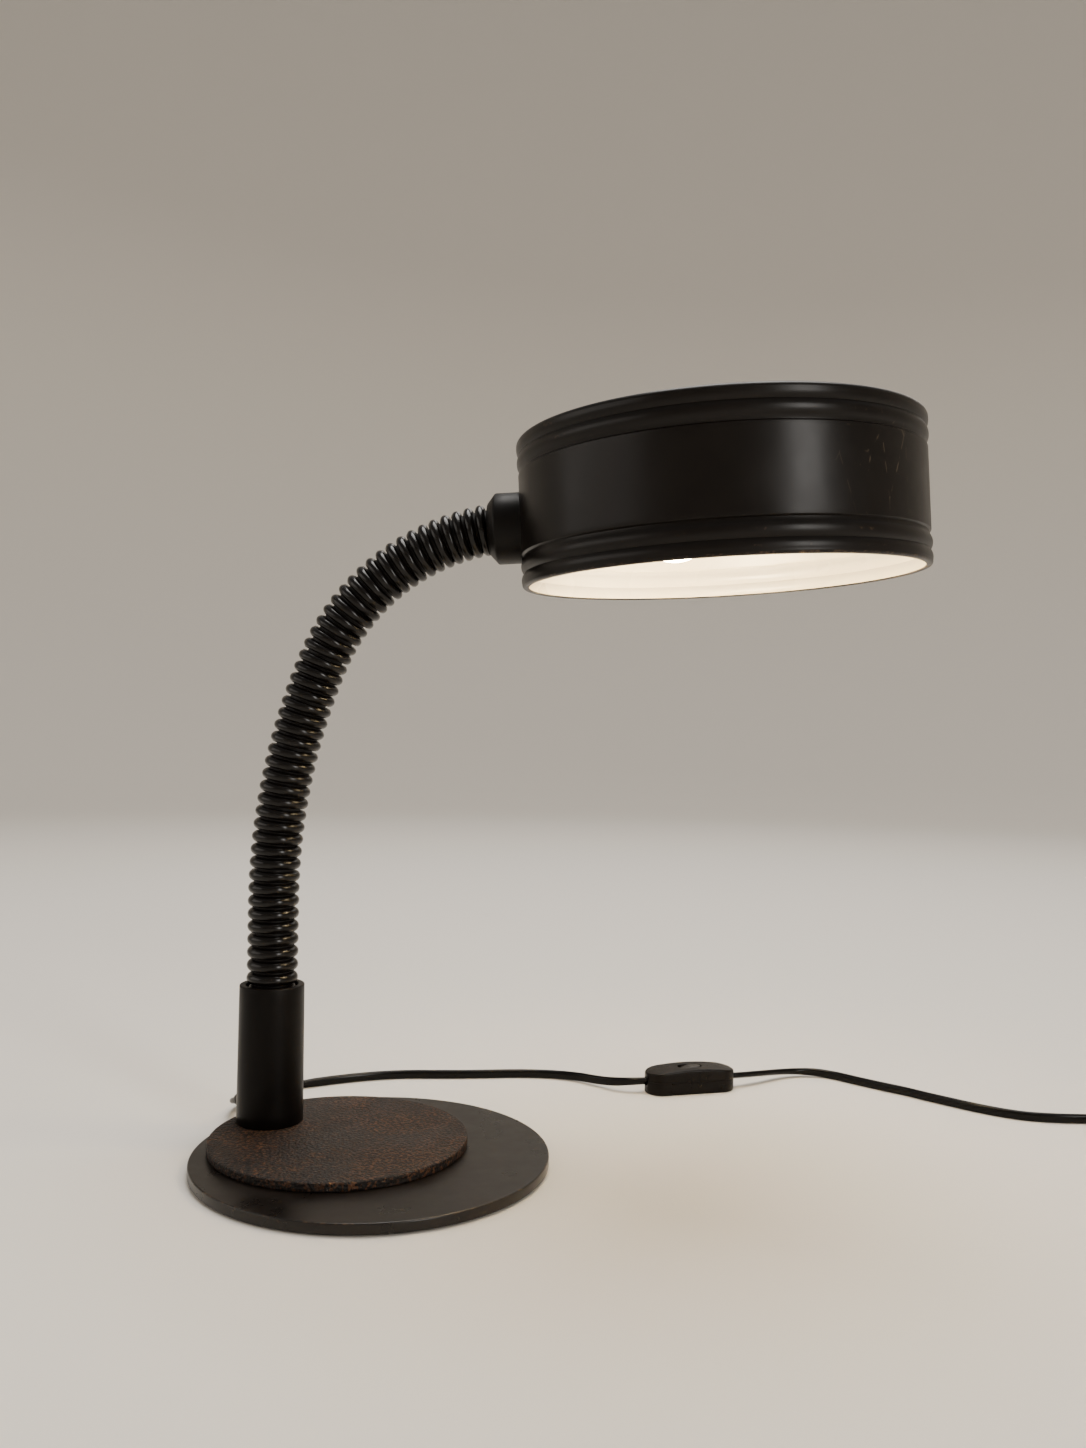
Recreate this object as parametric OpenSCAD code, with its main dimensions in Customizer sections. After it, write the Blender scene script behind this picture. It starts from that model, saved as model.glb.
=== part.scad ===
// Gooseneck desk lamp. Millimetres, +Z up.
// The origin is the middle of the base, on the table. The neck bends in the plane
// y = stem_y, and the head lies towards +X.

/* [Base] */
// Diameter of the base plate
plate_d = 180; // [170:1:220]
// Thickness of the base plate
plate_t = 5.4; // [4.8:0.2:8]
// Rounding of the plate's rim
plate_round = 0.8; // [0.3:0.1:1.5]
// Thickness of the felt pad
pad_t = 0.8; // [0.5:0.1:1.6]
// Distance from the plate's rim in to the pad's rim
pad_inset = 3; // [1:0.5:8]
// Diameter of the weight
weight_d = 132.4; // [110:0.2:140]
// Thickness of the weight
weight_t = 4.8; // [3:0.2:9]
// Rounding of the weight's rim
weight_round = 0.9; // [0.3:0.1:1.4]
// Width of plate that shows behind the weight
weight_margin = 3.2; // [1:0.2:8]
// Turn of the base under the neck, in degrees
base_turn = 22.4; // [0:0.2:60]

/* [Stem] */
// Diameter of the stem at its foot
stem_foot_d = 35; // [34:0.2:40]
// Diameter of the stem at its mouth
stem_mouth_d = 34; // [33:0.2:38]
// Height of the stem
stem_h = 72.7; // [68:0.1:90]
// Width of the weight that shows behind the stem
stem_margin = 2.9; // [0.5:0.1:6]
// Thickness of the threaded plug in the stem's foot
plug_t = 5.2; // [4:0.2:6]
// Diameter of the base bolt
bolt_d = 8; // [6:0.5:10]
// Diameter of the bolt's flange
bolt_flange_d = 20; // [17:0.5:24]
// Thickness of the bolt's flange
bolt_flange_t = 0.9; // [0.6:0.1:1.2]
// Width across the flats of the bolt's head
bolt_head_w = 13; // [11:0.5:15]
// Height of the bolt's head
bolt_head_t = 2.2; // [1.6:0.1:2.4]
// Length of the neck clamp
clamp_l = 14; // [10:0.5:16]
// Distance from the stem's mouth down to the neck clamp
clamp_depth = 24; // [22:0.5:28]
// Diameter of the clamp screw
clamp_screw_d = 4; // [3:0.5:5]

/* [Neck sleeve] */
// Outer diameter of the ribs
rib_d = 27; // [26:0.1:28]
// Diameter between the ribs
valley_d = 20.4; // [19.6:0.1:22]
// Bore of the sleeve
sleeve_bore_d = 17.8; // [17.8:0.1:18.4]
// Distance between ribs at the stem
foot_pitch = 6.9; // [6.4:0.05:7.4]
// Distance between ribs at the head
head_pitch = 5.85; // [5.7:0.05:6.4]
// Gap between two ribs where the neck bends
rib_gap = 2.3; // [2.3:0.1:2.8]
// Ribs that show above the stem before the first bend
foot_ribs = 4; // [2:1:6]
// Ribs that are hidden in the stem
hidden_ribs = 3; // [1:1:3]
// Ribs between the last bend and the collar
end_ribs = 3; // [2:1:4]

/* [Neck curve] */
// Length of neck above the stem that stands straight
straight_l = 45; // [30:1:60]
// Length of the gentle bend
gentle_l = 130; // [120:1:150]
// Angle of the gentle bend
gentle_angle = 22; // [10:0.5:26]
// Length of the sharp bend
sharp_l = 74; // [64:1:90]
// Angle of the sharp bend
sharp_angle = 37; // [15:0.5:40]
// Length of the last bend
last_l = 48; // [44:1:60]
// Angle of the last bend
last_angle = 22.5; // [10:0.5:24]

/* [Neck hose] */
// Diameter of the ball on each hose link
ball_d = 13.2; // [12.8:0.1:13.6]
// Diameter of the neck below each ball
ball_neck_d = 11; // [10.6:0.1:11.4]
// Outer diameter of each socket
socket_d = 16.4; // [16:0.1:16.6]
// Diameter of the band that carries the sleeve
band_d = 17.2; // [16.8:0.1:17.2]
// Depth of the socket's skirt below the ball's centre
skirt_l = 2; // [1:0.1:2.2]
// Bore of the hose
hose_bore_d = 9; // [8:0.1:9.2]
// Height of the ball above its centre, where it is cut off
ball_cut = 3.5; // [2.5:0.1:3.8]

/* [Head] */
// Rise of the collar towards the shade, in degrees
head_rise = 3.4; // [-10:0.1:20]
// Turn of the head about the collar, in degrees
head_roll = 1.4; // [-10:0.1:10]
// Diameter of the collar
collar_d = 37.2; // [34:0.2:40]
// Diameter of the collar's end face
collar_nose_d = 27.6; // [26:0.2:30]
// Length of the collar's bevel
collar_bevel = 4; // [2:0.2:6]
// Length of the collar, from its end face to the shade
collar_l = 16.8; // [16:0.2:26]
// Depth of the hose's socket in the collar
collar_socket_l = 12; // [8:0.5:13]
// Diameter of the threaded nipple
nipple_d = 10; // [9:0.5:12]
// Bore of the nipple
nipple_bore_d = 7; // [6:0.5:7.5]
// Width across the flats of the collar nut
nut_w = 14; // [13:0.5:17]
// Thickness of the collar nut
nut_t = 3; // [2:0.2:5]

/* [Shade] */
// Diameter of the shade over its beads
shade_d = 208.4; // [190:0.1:230]
// Height of the shade
shade_h = 74.8; // [70:0.2:90]
// Thickness of the sheet
sheet_t = 0.8; // [0.6:0.1:1.2]
// Height of the collar's middle above the shade's rim
collar_height = 32.9; // [32:0.1:40]
// Distance between two beads
bead_pitch = 7.3; // [6.4:0.1:8]
// Radius of each bead's bulge
bead_round = 6.4; // [5:0.1:8]
// Depth of the wall behind the beads
wall_step = 0.5; // [0.2:0.1:0.8]
// Depth of the grooves behind the beads
groove_step = 1.4; // [1.2:0.1:1.8]
// Width of the groove between the beads and the wall
groove_w = 2.6; // [1.5:0.1:4]
// Width of the turned-in rim
rim_w = 3.6; // [2.4:0.1:6]
// Diameter of the panel pressed into the top
panel_d = 184; // [120:1:188]
// Depth of the panel
panel_step = 1.4; // [0.8:0.1:3]

/* [Lampholder and bulb] */
// Diameter of the lampholder
holder_d = 39; // [36:0.5:42]
// Length of the lampholder
holder_l = 51; // [46:0.5:56]
// Diameter of the lampholder's boss
holder_boss_d = 22; // [18:0.5:26]
// Length of the lampholder's boss
holder_boss_l = 6; // [4:0.5:8]
// Length of the lampholder's cone
holder_cone_l = 7; // [4:0.5:9]
// Thickness of the threaded shell
shell_t = 0.8; // [0.5:0.1:1]
// Length of the threaded shell
shell_l = 28; // [27.5:0.5:31]
// Diameter of the bulb's cap
cap_d = 26.6; // [26:0.1:27]
// Length of the bulb's cap
cap_l = 24; // [20:0.5:26]
// Diameter of the bulb's glass
bulb_d = 45; // [40:0.5:50]
// Diameter of the glass at the cap
bulb_neck_d = 25; // [22:0.5:25.4]
// Length of the bulb
bulb_l = 78; // [72:0.5:84]
// Thickness of the glass
glass_t = 0.8; // [0.5:0.1:1]

/* [Cord relief] */
// Direction in which the cord leaves the stem, in degrees
cord_exit = 133; // [130:0.5:136]
// Slope of the cord relief below level, in degrees
relief_slope = 20; // [18:0.5:22]
// Height of the cord relief where it leaves the stem
relief_z = 20; // [19.6:0.1:20.6]
// Length of the cord relief
relief_l = 24; // [22:0.5:26]
// Diameter of the cord relief at the stem
relief_d = 8.8; // [8:0.1:10]
// Diameter of the cord relief at its tip
relief_tip_d = 6.6; // [6.2:0.1:7.4]
// Diameter of the hole in the stem for the cord relief
relief_hole_d = 7; // [6.6:0.1:7.8]

/* [Switch] */
// Length of the switch
switch_l = 57; // [54:0.5:66]
// Width of the switch
switch_w = 20; // [19.4:0.1:24]
// Height of the switch
switch_h = 15; // [14:0.5:18]
// Height of the seam between the two shells
seam_h = 7.6; // [7:0.1:8]
// Fall of the switch's top towards its ends
switch_arch = 2.6; // [1:0.2:3]
// Corner radius of the switch
switch_round = 9.4; // [6:0.2:9.6]
// Thickness of the switch's walls
switch_wall = 2; // [1.5:0.1:2.5]
// Length of the rocker
rocker_l = 14.4; // [12:0.2:16]
// Width of the rocker
rocker_w = 6.6; // [5:0.2:8]
// Height of the rocker
rocker_h = 5; // [4:0.2:6]
// Diameter of the rocker's pivot
pivot_d = 2; // [1.6:0.1:2.6]
// Depth of the pivot below the switch's top
pivot_depth = 2.6; // [2.2:0.1:3]
// Angle of the rocker from level when it is on, in degrees
rocker_tilt = 7; // [4:0.5:8]
// Diameter of the shell screws
shell_screw_d = 3; // [2.5:0.1:3.5]

/* [Cord] */
// Width of the flat cord
cord_w = 5.4; // [5:0.1:6]
// Thickness of the flat cord
cord_t = 3.4; // [3:0.1:3.6]
// Diameter of the coil at the middle of its turns
coil_d = 62; // [54:1:65]
// Turns side by side in the coil
coil_columns = 3; // [2:1:4]
// Layers in the coil
coil_layers = 2; // [1:1:3]
// Width of the tie
tie_w = 9; // [5:0.5:14]
// Thickness of the tie
tie_t = 1; // [0.6:0.1:1.6]
// Length of the plug's body
plug_l = 36; // [32:0.5:40]
// Width of the plug at its pins
plug_w = 27; // [24:0.5:32]
// Width of the plug at its cord
plug_tail_w = 15; // [13:0.5:20]
// Thickness of the plug
plug_h = 13.6; // [12:0.2:15]
// Length of the plug's strain relief
plug_relief_l = 26; // [20:0.5:30]
// Diameter of the plug's pins
pin_d = 4; // [3.8:0.1:4.2]
// Length of the plug's pins
pin_l = 19; // [17:0.5:20]
// Distance between the plug's pins
pin_spacing = 19; // [17:0.5:19.5]

/* [Fits] */
// Radial clearance of parts that lie in a bore
loose = 0.3; // [0.2:0.05:0.5]
// Radial clearance of running and threaded fits
running = 0.05; // [0.02:0.01:0.1]
// Clearance round the rocker in its window
window_gap = 0.4; // [0.3:0.05:0.6]

/* [Hidden] */
$fn = 64;

// Ribs of each bending length of the neck, from the stem to the head
LINK_RIBS = [5, 5, 5, 4, 4, 2, 2, 2, 2, 2, 2, 2, 2];
LINKS = len(LINK_RIBS);

// Colours
BLACK_PAINT = [0.10, 0.08, 0.07];
BLACK_PLASTIC = [0.06, 0.05, 0.05];
CAST = [0.16, 0.11, 0.08];
FELT = [0.13, 0.12, 0.11];
STEEL = [0.62, 0.62, 0.60];
BRASS = [0.78, 0.62, 0.30];
GLASS = [0.98, 0.93, 0.80];

// Base
plate_z = pad_t;
weight_z = plate_z + plate_t;
stem_z = weight_z + weight_t;
weight_shift = (plate_d - weight_d) / 2 - weight_margin;
stem_shift = weight_shift + (weight_d - stem_foot_d) / 2 - stem_margin;
weight_x = -weight_shift * cos(base_turn);
weight_y = weight_shift * sin(base_turn);
stem_x = -stem_shift * cos(base_turn);
stem_y = stem_shift * sin(base_turn);
bolt_pocket_t = bolt_flange_t + bolt_head_t;

// Stem
mouth_z = stem_z + stem_h;
stem_bore_d = rib_d + 2 * loose;
clamp_top_z = mouth_z - clamp_depth;

// Neck: ribs are numbered from the stem's mouth, and arc(k) is the length of neck below rib k
rib_count = foot_ribs + rib_sum(LINKS) + end_ribs;
pitch_change = (head_pitch - foot_pitch) / (rib_count - 1);
BENDS = [
    [straight_l, 0],
    [straight_l + gentle_l, gentle_angle],
    [straight_l + gentle_l + sharp_l, gentle_angle + sharp_angle],
    [straight_l + gentle_l + sharp_l + last_l, gentle_angle + sharp_angle + last_angle]
];
function rib_sum(i) = i == 0 ? 0 : rib_sum(i - 1) + LINK_RIBS[i - 1];
function pitch(k) = foot_pitch + pitch_change * k;
function arc(k) = k * foot_pitch + pitch_change * k * (k - 1) / 2;
function first_rib(i) = foot_ribs + rib_sum(i);
function link_l(i) = arc(first_rib(i + 1)) - arc(first_rib(i));
function heading(i) = lookup((arc(first_rib(i)) + arc(first_rib(i + 1))) / 2, BENDS);
// Place of bend i in the plane of the neck, as distance from the stem's axis and height
function bend_at(i) = i == 0
    ? [0, mouth_z + arc(foot_ribs)]
    : bend_at(i - 1) + link_l(i - 1) * [sin(heading(i - 1)), cos(heading(i - 1))];
end_l = arc(rib_count) - arc(first_rib(LINKS));
end_heading = lookup(arc(rib_count) - end_l / 2, BENDS);
head_at = bend_at(LINKS) + end_l * [sin(end_heading), cos(end_heading)];

// Head
shade_r = shade_d / 2;
wall_r = shade_r - wall_step;
shade_axis = collar_l + wall_r;
panel_z = shade_h - panel_step - sheet_t;
nut_x = shade_axis - sqrt(pow(wall_r - sheet_t, 2) - pow(nut_w * 0.58, 2)) + 0.1;
holder_x = nut_x + nut_t;
nipple_end = holder_x + holder_boss_l + holder_cone_l - 2;
holder_floor = holder_x + holder_boss_l + holder_cone_l + 1.5;
holder_end = holder_x + holder_l;
cap_x = holder_floor + 6;
cap_tip_l = 3;
cap_t = 0.6;
contact_t = 1;
contact_x = cap_x - contact_t;
bulb_end = cap_x + bulb_l;
shell_d = cap_d + 2 * running + 2 * shell_t;
shell_x = holder_end - shell_l;
cap_tip_d = 9;
contact_d = 8;

// Switch, placed by its middle on the table
switch_at = [165.3, 149.4, 0];
switch_turn = 19.9;
arch_r = (pow(switch_l / 2, 2) + pow(switch_arch, 2)) / (2 * switch_arch);
pivot_z = switch_h - pivot_depth;
window_l = rocker_l + 2 * window_gap;
window_w = rocker_w + 2 * window_gap;
ear_t = 2.4;
pivot_l = window_w + 2 * ear_t;
screw_inset = 9;
screw_x = switch_l / 2 - screw_inset;
screw_top = switch_h - switch_wall - 1.4;
screw_post_d = 7;
screw_head_d = 5;
screw_head_z = 1.8;
cord_z = 7.2;

// Cord, from the relief's tip to the switch and from the switch to the coil
TO_SWITCH = [
    [-87, 52.8, 12.6], [-89, 55, 11.8], [-93.6, 62, 8.8], [-95.8, 72, 5.4], [-95, 83, 3],
    [-91.4, 94, 2.0], [-85, 105, 1.8], [-75.5, 114.5, 1.8], [-63.5, 122.5, 1.8],
    [-51, 130.8, 1.8], [-38, 138, 1.8], [-24, 144, 1.8], [-9, 148, 1.8], [6, 150.2, 1.8],
    [22, 152.6, 1.8], [38, 155.8, 1.8], [54, 159, 1.8], [70, 160.8, 1.8], [84, 160, 1.9],
    [97, 155.6, 2.4], [108, 148.6, 3.8], [118.5, 141.8, 5.4], [129, 138.8, 6.8],
    [141, 140.8, 7.2]
];
TO_COIL = [
    [189.6, 158.2, 7.2], [199, 162.4, 7], [211, 171, 6], [223, 181, 4.6], [235, 187.8, 3.2],
    [248, 189, 2.2], [260, 184.4, 1.8], [272, 175, 1.8], [285, 165.4, 1.8],
    [298, 156.4, 1.8], [310, 146.4, 1.8], [321.5, 137.6, 1.8], [333, 129.2, 1.8],
    [345, 122, 1.8], [358, 117, 1.8], [373, 115.6, 1.8], [388, 116.4, 1.8],
    [404, 118.6, 1.8], [418, 120.1, 1.8], [432, 120.4, 1.8]
];
COIL_AT = [432, 84, 0];
TIE_TURN = 215;
PLUG_AT = [468.4, 74, 0];
PLUG_TURN = -90;

// Height of the shoulder on a hose link above the bend below it
shoulder_z = 5.5;

// Leads inside the lamp, as distances from the stem's axis or along the head
stem_lead_d = 5;
head_lead_d = 2.2;
STEM_LEAD = [
    [12.5, 22], [9.5, 23.2], [6, 25.6], [3, 29.2], [1, 34], [0, 40], [0, 52], [0, 70], [0, 90],
    [0, 108]
];

// ---- Shapes that repeat ----

// A disc with a rounded rim
module rounded_disc(r, h, round) {
    rotate_extrude() {
        square([r - round, h]);
        translate([0, round]) square([r, h - 2 * round]);
        for (z = [round, h - round]) translate([r - round, z]) circle(round);
    }
}

// A hexagonal prism, by its width across the flats
module hexagon(w, h) {
    cylinder(d = w / cos(30), h = h, $fn = 6);
}

// A plate with round corners, by its size and corner radius
module rounded_plate(l, w, h, r) {
    linear_extrude(h) {
        square([l, w - 2 * r], center = true);
        square([l - 2 * r, w], center = true);
        for (x = [-1, 1], y = [-1, 1]) translate([x * (l / 2 - r), y * (w / 2 - r)]) circle(r);
    }
}

// A flat cord along points: an oval of width w and thickness t at each point
module cord_along(points, w, t, sides) {
    n = len(points);
    rings = [for (i = [0:n - 1])
        let(
            ahead = points[min(i + 1, n - 1)] - points[max(i - 1, 0)],
            side = abs(ahead.x) + abs(ahead.y) < 0.01 ? [0, 1, 0] : cross(ahead, [0, 0, 1]),
            across = side / norm(side),
            up = cross(across, ahead) / norm(ahead)
        )
        for (k = [0:sides - 1])
            points[i] + across * w / 2 * cos(360 * (k + 0.5) / sides)
                + up * t / 2 * sin(360 * (k + 0.5) / sides)];
    walls = [for (i = [0:n - 2], k = [0:sides - 1])
        let(a = i * sides + k, b = i * sides + (k + 1) % sides) [a, b, b + sides, a + sides]];
    ends = [[for (k = [sides - 1:-1:0]) k], [for (k = [0:sides - 1]) (n - 1) * sides + k]];
    polyhedron(rings, concat(walls, ends), convexity = 10);
}

// ---- Frames of reference ----

// The axis of the stem, on the table
module at_stem() {
    translate([stem_x, stem_y, 0]) children();
}

// The cord relief: +X runs out along it from the stem's axis
module at_relief() {
    at_stem() rotate([0, 0, cord_exit]) children();
}

// Bend i of the neck: +Z runs up the length above it
module at_link(i) {
    at = bend_at(i);
    at_stem() translate([at.x, 0, at.y]) rotate([0, heading(i), 0]) children();
}

// The length of neck between the last bend and the collar
module at_end() {
    at = bend_at(LINKS);
    at_stem() translate([at.x, 0, at.y]) rotate([0, end_heading, 0]) children();
}

// The head: +X runs from the collar's end face into the shade
module at_head() {
    at_stem() translate([head_at.x, 0, head_at.y])
        rotate([0, -head_rise, 0]) rotate([head_roll, 0, 0]) children();
}

// The same with +Z along the head
module along_head(x = 0) {
    at_head() translate([x, 0, 0]) rotate([0, 90, 0]) children();
}

// The middle of the shade's rim: +Z is the shade's axis
module at_shade() {
    at_head() translate([shade_axis, 0, -collar_height]) children();
}

module at_switch() {
    translate(switch_at) rotate([0, 0, switch_turn]) children();
}

module at_plug() {
    translate(PLUG_AT) rotate([0, 0, PLUG_TURN]) children();
}

// ---- Base ----

module base_pad() {
    color(FELT) cylinder(r = plate_d / 2 - pad_inset, h = pad_t);
}

module base_plate() {
    color(BLACK_PAINT) difference() {
        translate([0, 0, plate_z]) rounded_disc(plate_d / 2, plate_t, plate_round);
        at_stem() {
            cylinder(d = bolt_d + 2 * loose, h = weight_z + 1);
            cylinder(d = bolt_flange_d + 2 * loose, h = plate_z + bolt_pocket_t);
        }
    }
}

module base_weight() {
    color(CAST) difference() {
        translate([weight_x, weight_y, weight_z])
            rounded_disc(weight_d / 2, weight_t, weight_round);
        at_stem() cylinder(d = bolt_d + 2 * loose, h = stem_z + 1);
    }
}

module base_bolt() {
    color(STEEL) at_stem() translate([0, 0, plate_z]) {
        hexagon(bolt_head_w, bolt_head_t);
        translate([0, 0, bolt_head_t]) cylinder(d = bolt_flange_d, h = bolt_flange_t);
        cylinder(d = bolt_d, h = stem_z - plate_z + plug_t);
    }
}

// ---- Stem ----

module relief_hole() {
    at_relief() translate([stem_foot_d / 2, 0, relief_z]) rotate([0, 90 + relief_slope, 0])
        translate([0, 0, -stem_foot_d / 2]) cylinder(d = relief_hole_d, h = stem_foot_d);
}

module clamp_hole(d) {
    at_stem() translate([0, 0, clamp_top_z - clamp_l / 2]) rotate([-90, 0, 0])
        cylinder(d = d, h = stem_foot_d);
}

module stem() {
    color(BLACK_PLASTIC) difference() {
        at_stem() translate([0, 0, stem_z]) difference() {
            cylinder(d1 = stem_foot_d, d2 = stem_mouth_d, h = stem_h);
            translate([0, 0, -1]) cylinder(d = stem_bore_d, h = stem_h + 2);
        }
        relief_hole();
        clamp_hole(clamp_screw_d + 2 * running);
    }
}

module stem_plug() {
    color(STEEL) at_stem() translate([0, 0, stem_z]) difference() {
        cylinder(d = stem_bore_d, h = plug_t);
        translate([0, 0, -1]) cylinder(d = bolt_d + 2 * running, h = plug_t + 2);
    }
}

module neck_clamp() {
    color(BRASS) difference() {
        at_stem() translate([0, 0, clamp_top_z - clamp_l]) difference() {
            cylinder(d = stem_bore_d, h = clamp_l);
            translate([0, 0, -1]) cylinder(d = socket_d + 2 * running, h = clamp_l + 2);
        }
        clamp_hole(clamp_screw_d + 2 * running);
    }
}

module clamp_screw() {
    start = socket_d / 2 + running;
    color(STEEL) at_stem() translate([0, start, clamp_top_z - clamp_l / 2]) rotate([-90, 0, 0])
        cylinder(d = clamp_screw_d, h = stem_mouth_d / 2 - start);
}

module cord_relief() {
    flange_t = 1.6;
    inside_l = (stem_foot_d - stem_bore_d) / 2 + 2;
    color(BLACK_PLASTIC) at_relief() translate([stem_foot_d / 2, 0, relief_z])
        rotate([0, 90 + relief_slope, 0]) {
            cylinder(d1 = relief_d, d2 = relief_tip_d, h = relief_l);
            translate([0, 0, -inside_l]) {
                cylinder(d = relief_hole_d - 2 * running, h = inside_l + 1);
                translate([0, 0, -flange_t]) cylinder(d = relief_hole_d + 2, h = flange_t);
            }
        }
}

module stem_lead() {
    color(BLACK_PLASTIC) at_relief()
        cord_along([for (p = STEM_LEAD) [p.x, 0, p.y]], stem_lead_d, stem_lead_d, 8);
}

// ---- Neck ----

// Ribs first to last of the sleeve, whose lower end is start along the neck
module ribbed(first, last, start, low, high) {
    rotate_extrude() {
        translate([sleeve_bore_d / 2, low]) square([(valley_d - sleeve_bore_d) / 2, high - low]);
        for (k = [first:last]) {
            w = pitch(k) - rib_gap;
            translate([0, (arc(k) + arc(k + 1)) / 2 - start]) {
                translate([sleeve_bore_d / 2, -w / 2])
                    square([(rib_d - w - sleeve_bore_d) / 2, w]);
                translate([(rib_d - w) / 2, 0]) circle(w / 2);
            }
        }
    }
}

module sleeve_foot() {
    color(BLACK_PLASTIC) at_stem() translate([0, 0, mouth_z])
        ribbed(-hidden_ribs, foot_ribs - 1, 0, arc(-hidden_ribs) + rib_gap / 2,
            arc(foot_ribs) - rib_gap / 2);
}

module sleeve_link(i) {
    color(BLACK_PLASTIC) at_link(i)
        ribbed(first_rib(i), first_rib(i + 1) - 1, arc(first_rib(i)), rib_gap / 2,
            link_l(i) - rib_gap / 2);
}

// The last ribs are cut to lie against the collar's end face
module sleeve_end() {
    color(BLACK_PLASTIC) difference() {
        at_end() ribbed(first_rib(LINKS), rib_count - 1, arc(first_rib(LINKS)), rib_gap / 2, end_l);
        along_head(-loose / 2) cylinder(d = 2 * rib_d, h = rib_d);
    }
}

// The ball at the top of a hose link and the neck that carries it
module ball(z, neck_l) {
    translate([0, 0, z]) intersection() {
        union() {
            sphere(d = ball_d);
            translate([0, 0, -neck_l]) cylinder(d = ball_neck_d, h = neck_l);
        }
        translate([0, 0, -neck_l]) cylinder(d = 2 * ball_d, h = neck_l + ball_cut);
    }
}

// The socket at the foot of a hose link, with its band and its shoulder
module socket() {
    band_z = 1.5;
    difference() {
        union() {
            translate([0, 0, -skirt_l]) cylinder(d = socket_d, h = skirt_l + shoulder_z);
            translate([0, 0, band_z]) cylinder(d = band_d, h = shoulder_z - band_z);
            translate([0, 0, shoulder_z]) cylinder(d1 = band_d, d2 = ball_neck_d, h = 2);
        }
        sphere(d = ball_d + 2 * loose);
    }
}

module hose_foot() {
    low = clamp_top_z - clamp_l;
    top = mouth_z + arc(foot_ribs);
    neck_l = 8;
    color(STEEL) at_stem() difference() {
        union() {
            translate([0, 0, low]) cylinder(d = socket_d, h = top - neck_l - low);
            translate([0, 0, clamp_top_z]) cylinder(d = band_d, h = top - neck_l - 2 - clamp_top_z);
            ball(top, neck_l);
        }
        translate([0, 0, low - 1]) cylinder(d = hose_bore_d, h = top - low + ball_d);
    }
}

module hose_link(i) {
    l = link_l(i);
    color(STEEL) at_link(i) difference() {
        union() {
            socket();
            ball(l, l - shoulder_z);
        }
        translate([0, 0, -skirt_l]) cylinder(d = hose_bore_d, h = l + ball_d);
    }
}

module hose_end() {
    color(STEEL) difference() {
        union() {
            at_end() {
                socket();
                translate([0, 0, shoulder_z]) cylinder(d = ball_neck_d, h = end_l - shoulder_z);
            }
            along_head(-1.5) cylinder(d = socket_d, h = collar_socket_l + 1.5);
            along_head() cylinder(d = nipple_d, h = nipple_end);
        }
        at_end() cylinder(d = hose_bore_d, h = end_l - 1.5);
        along_head(-3) cylinder(d = nipple_bore_d, h = nipple_end + 4);
    }
}

// ---- Head ----

module collar() {
    color(BLACK_PLASTIC) difference() {
        along_head() difference() {
            union() {
                cylinder(d1 = collar_nose_d, d2 = collar_d, h = collar_bevel);
                translate([0, 0, collar_bevel])
                    cylinder(d = collar_d, h = collar_l - collar_bevel + 4);
            }
            translate([0, 0, -1]) cylinder(d = socket_d + 2 * running, h = collar_socket_l + 1);
            cylinder(d = nipple_d + 2 * running, h = 2 * collar_l);
        }
        at_shade() cylinder(r = wall_r, h = shade_h, $fn = 128);
    }
}

module collar_nut() {
    color(STEEL) along_head(nut_x) difference() {
        hexagon(nut_w, nut_t);
        translate([0, 0, -1]) cylinder(d = nipple_d + 2 * running, h = nut_t + 2);
    }
}

// The outline of the shade, and with inset > 0 the outline of the space inside its sheet
module shade_outline(inset) {
    first = bead_pitch / 2;
    wall_low = 2 * bead_pitch + groove_w;
    intersection() {
        translate([0, inset]) square([shade_r, shade_h - 2 * inset]);
        union() {
            square([shade_r - groove_step - inset, shade_h]);
            translate([0, wall_low + inset])
                square([wall_r - inset, shade_h - 2 * wall_low - 2 * inset]);
            for (h = [first, first + bead_pitch], z = [h, shade_h - h])
                intersection() {
                    translate([shade_r - bead_round, z]) circle(bead_round - inset);
                    translate([shade_r - bead_round, z - bead_pitch / 2])
                        square([bead_round, bead_pitch]);
                }
        }
    }
}

module shade() {
    color(BLACK_PAINT) difference() {
        at_shade() rotate_extrude($fn = 128) {
            difference() {
                shade_outline(0);
                shade_outline(sheet_t);
                translate([0, -1]) square([shade_r - rim_w, sheet_t + 2]);
                translate([0, panel_z]) square([panel_d / 2, shade_h]);
            }
            translate([0, panel_z]) square([panel_d / 2, sheet_t]);
            translate([panel_d / 2, panel_z]) square([sheet_t, shade_h - panel_z]);
        }
        along_head() cylinder(d = nipple_d + 2 * running, h = 2 * collar_l);
    }
}

module lampholder() {
    boss_end = holder_x + holder_boss_l;
    color([0.09, 0.07, 0.06]) difference() {
        union() {
            along_head(holder_x) cylinder(d = holder_boss_d, h = holder_boss_l);
            along_head(boss_end) cylinder(d1 = holder_boss_d, d2 = holder_d, h = holder_cone_l);
            along_head(boss_end + holder_cone_l)
                cylinder(d = holder_d, h = holder_l - holder_boss_l - holder_cone_l);
        }
        along_head(holder_x - 1) cylinder(d = nipple_d + 2 * running, h = holder_l);
        along_head(holder_floor) cylinder(d = shell_d, h = holder_l);
    }
}

module holder_contacts() {
    color(BRASS) {
        along_head(shell_x) difference() {
            cylinder(d = shell_d, h = shell_l - 1);
            translate([0, 0, -1]) cylinder(d = shell_d - 2 * shell_t, h = shell_l + 1);
        }
        along_head(contact_x) {
            cylinder(d = contact_d, h = contact_t);
            translate([-1.5, 0, 0]) cube([3, 7.5, contact_t]);
        }
        along_head(holder_floor) translate([0, 6, 0]) cylinder(d = 3, h = contact_x - holder_floor);
    }
}

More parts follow.
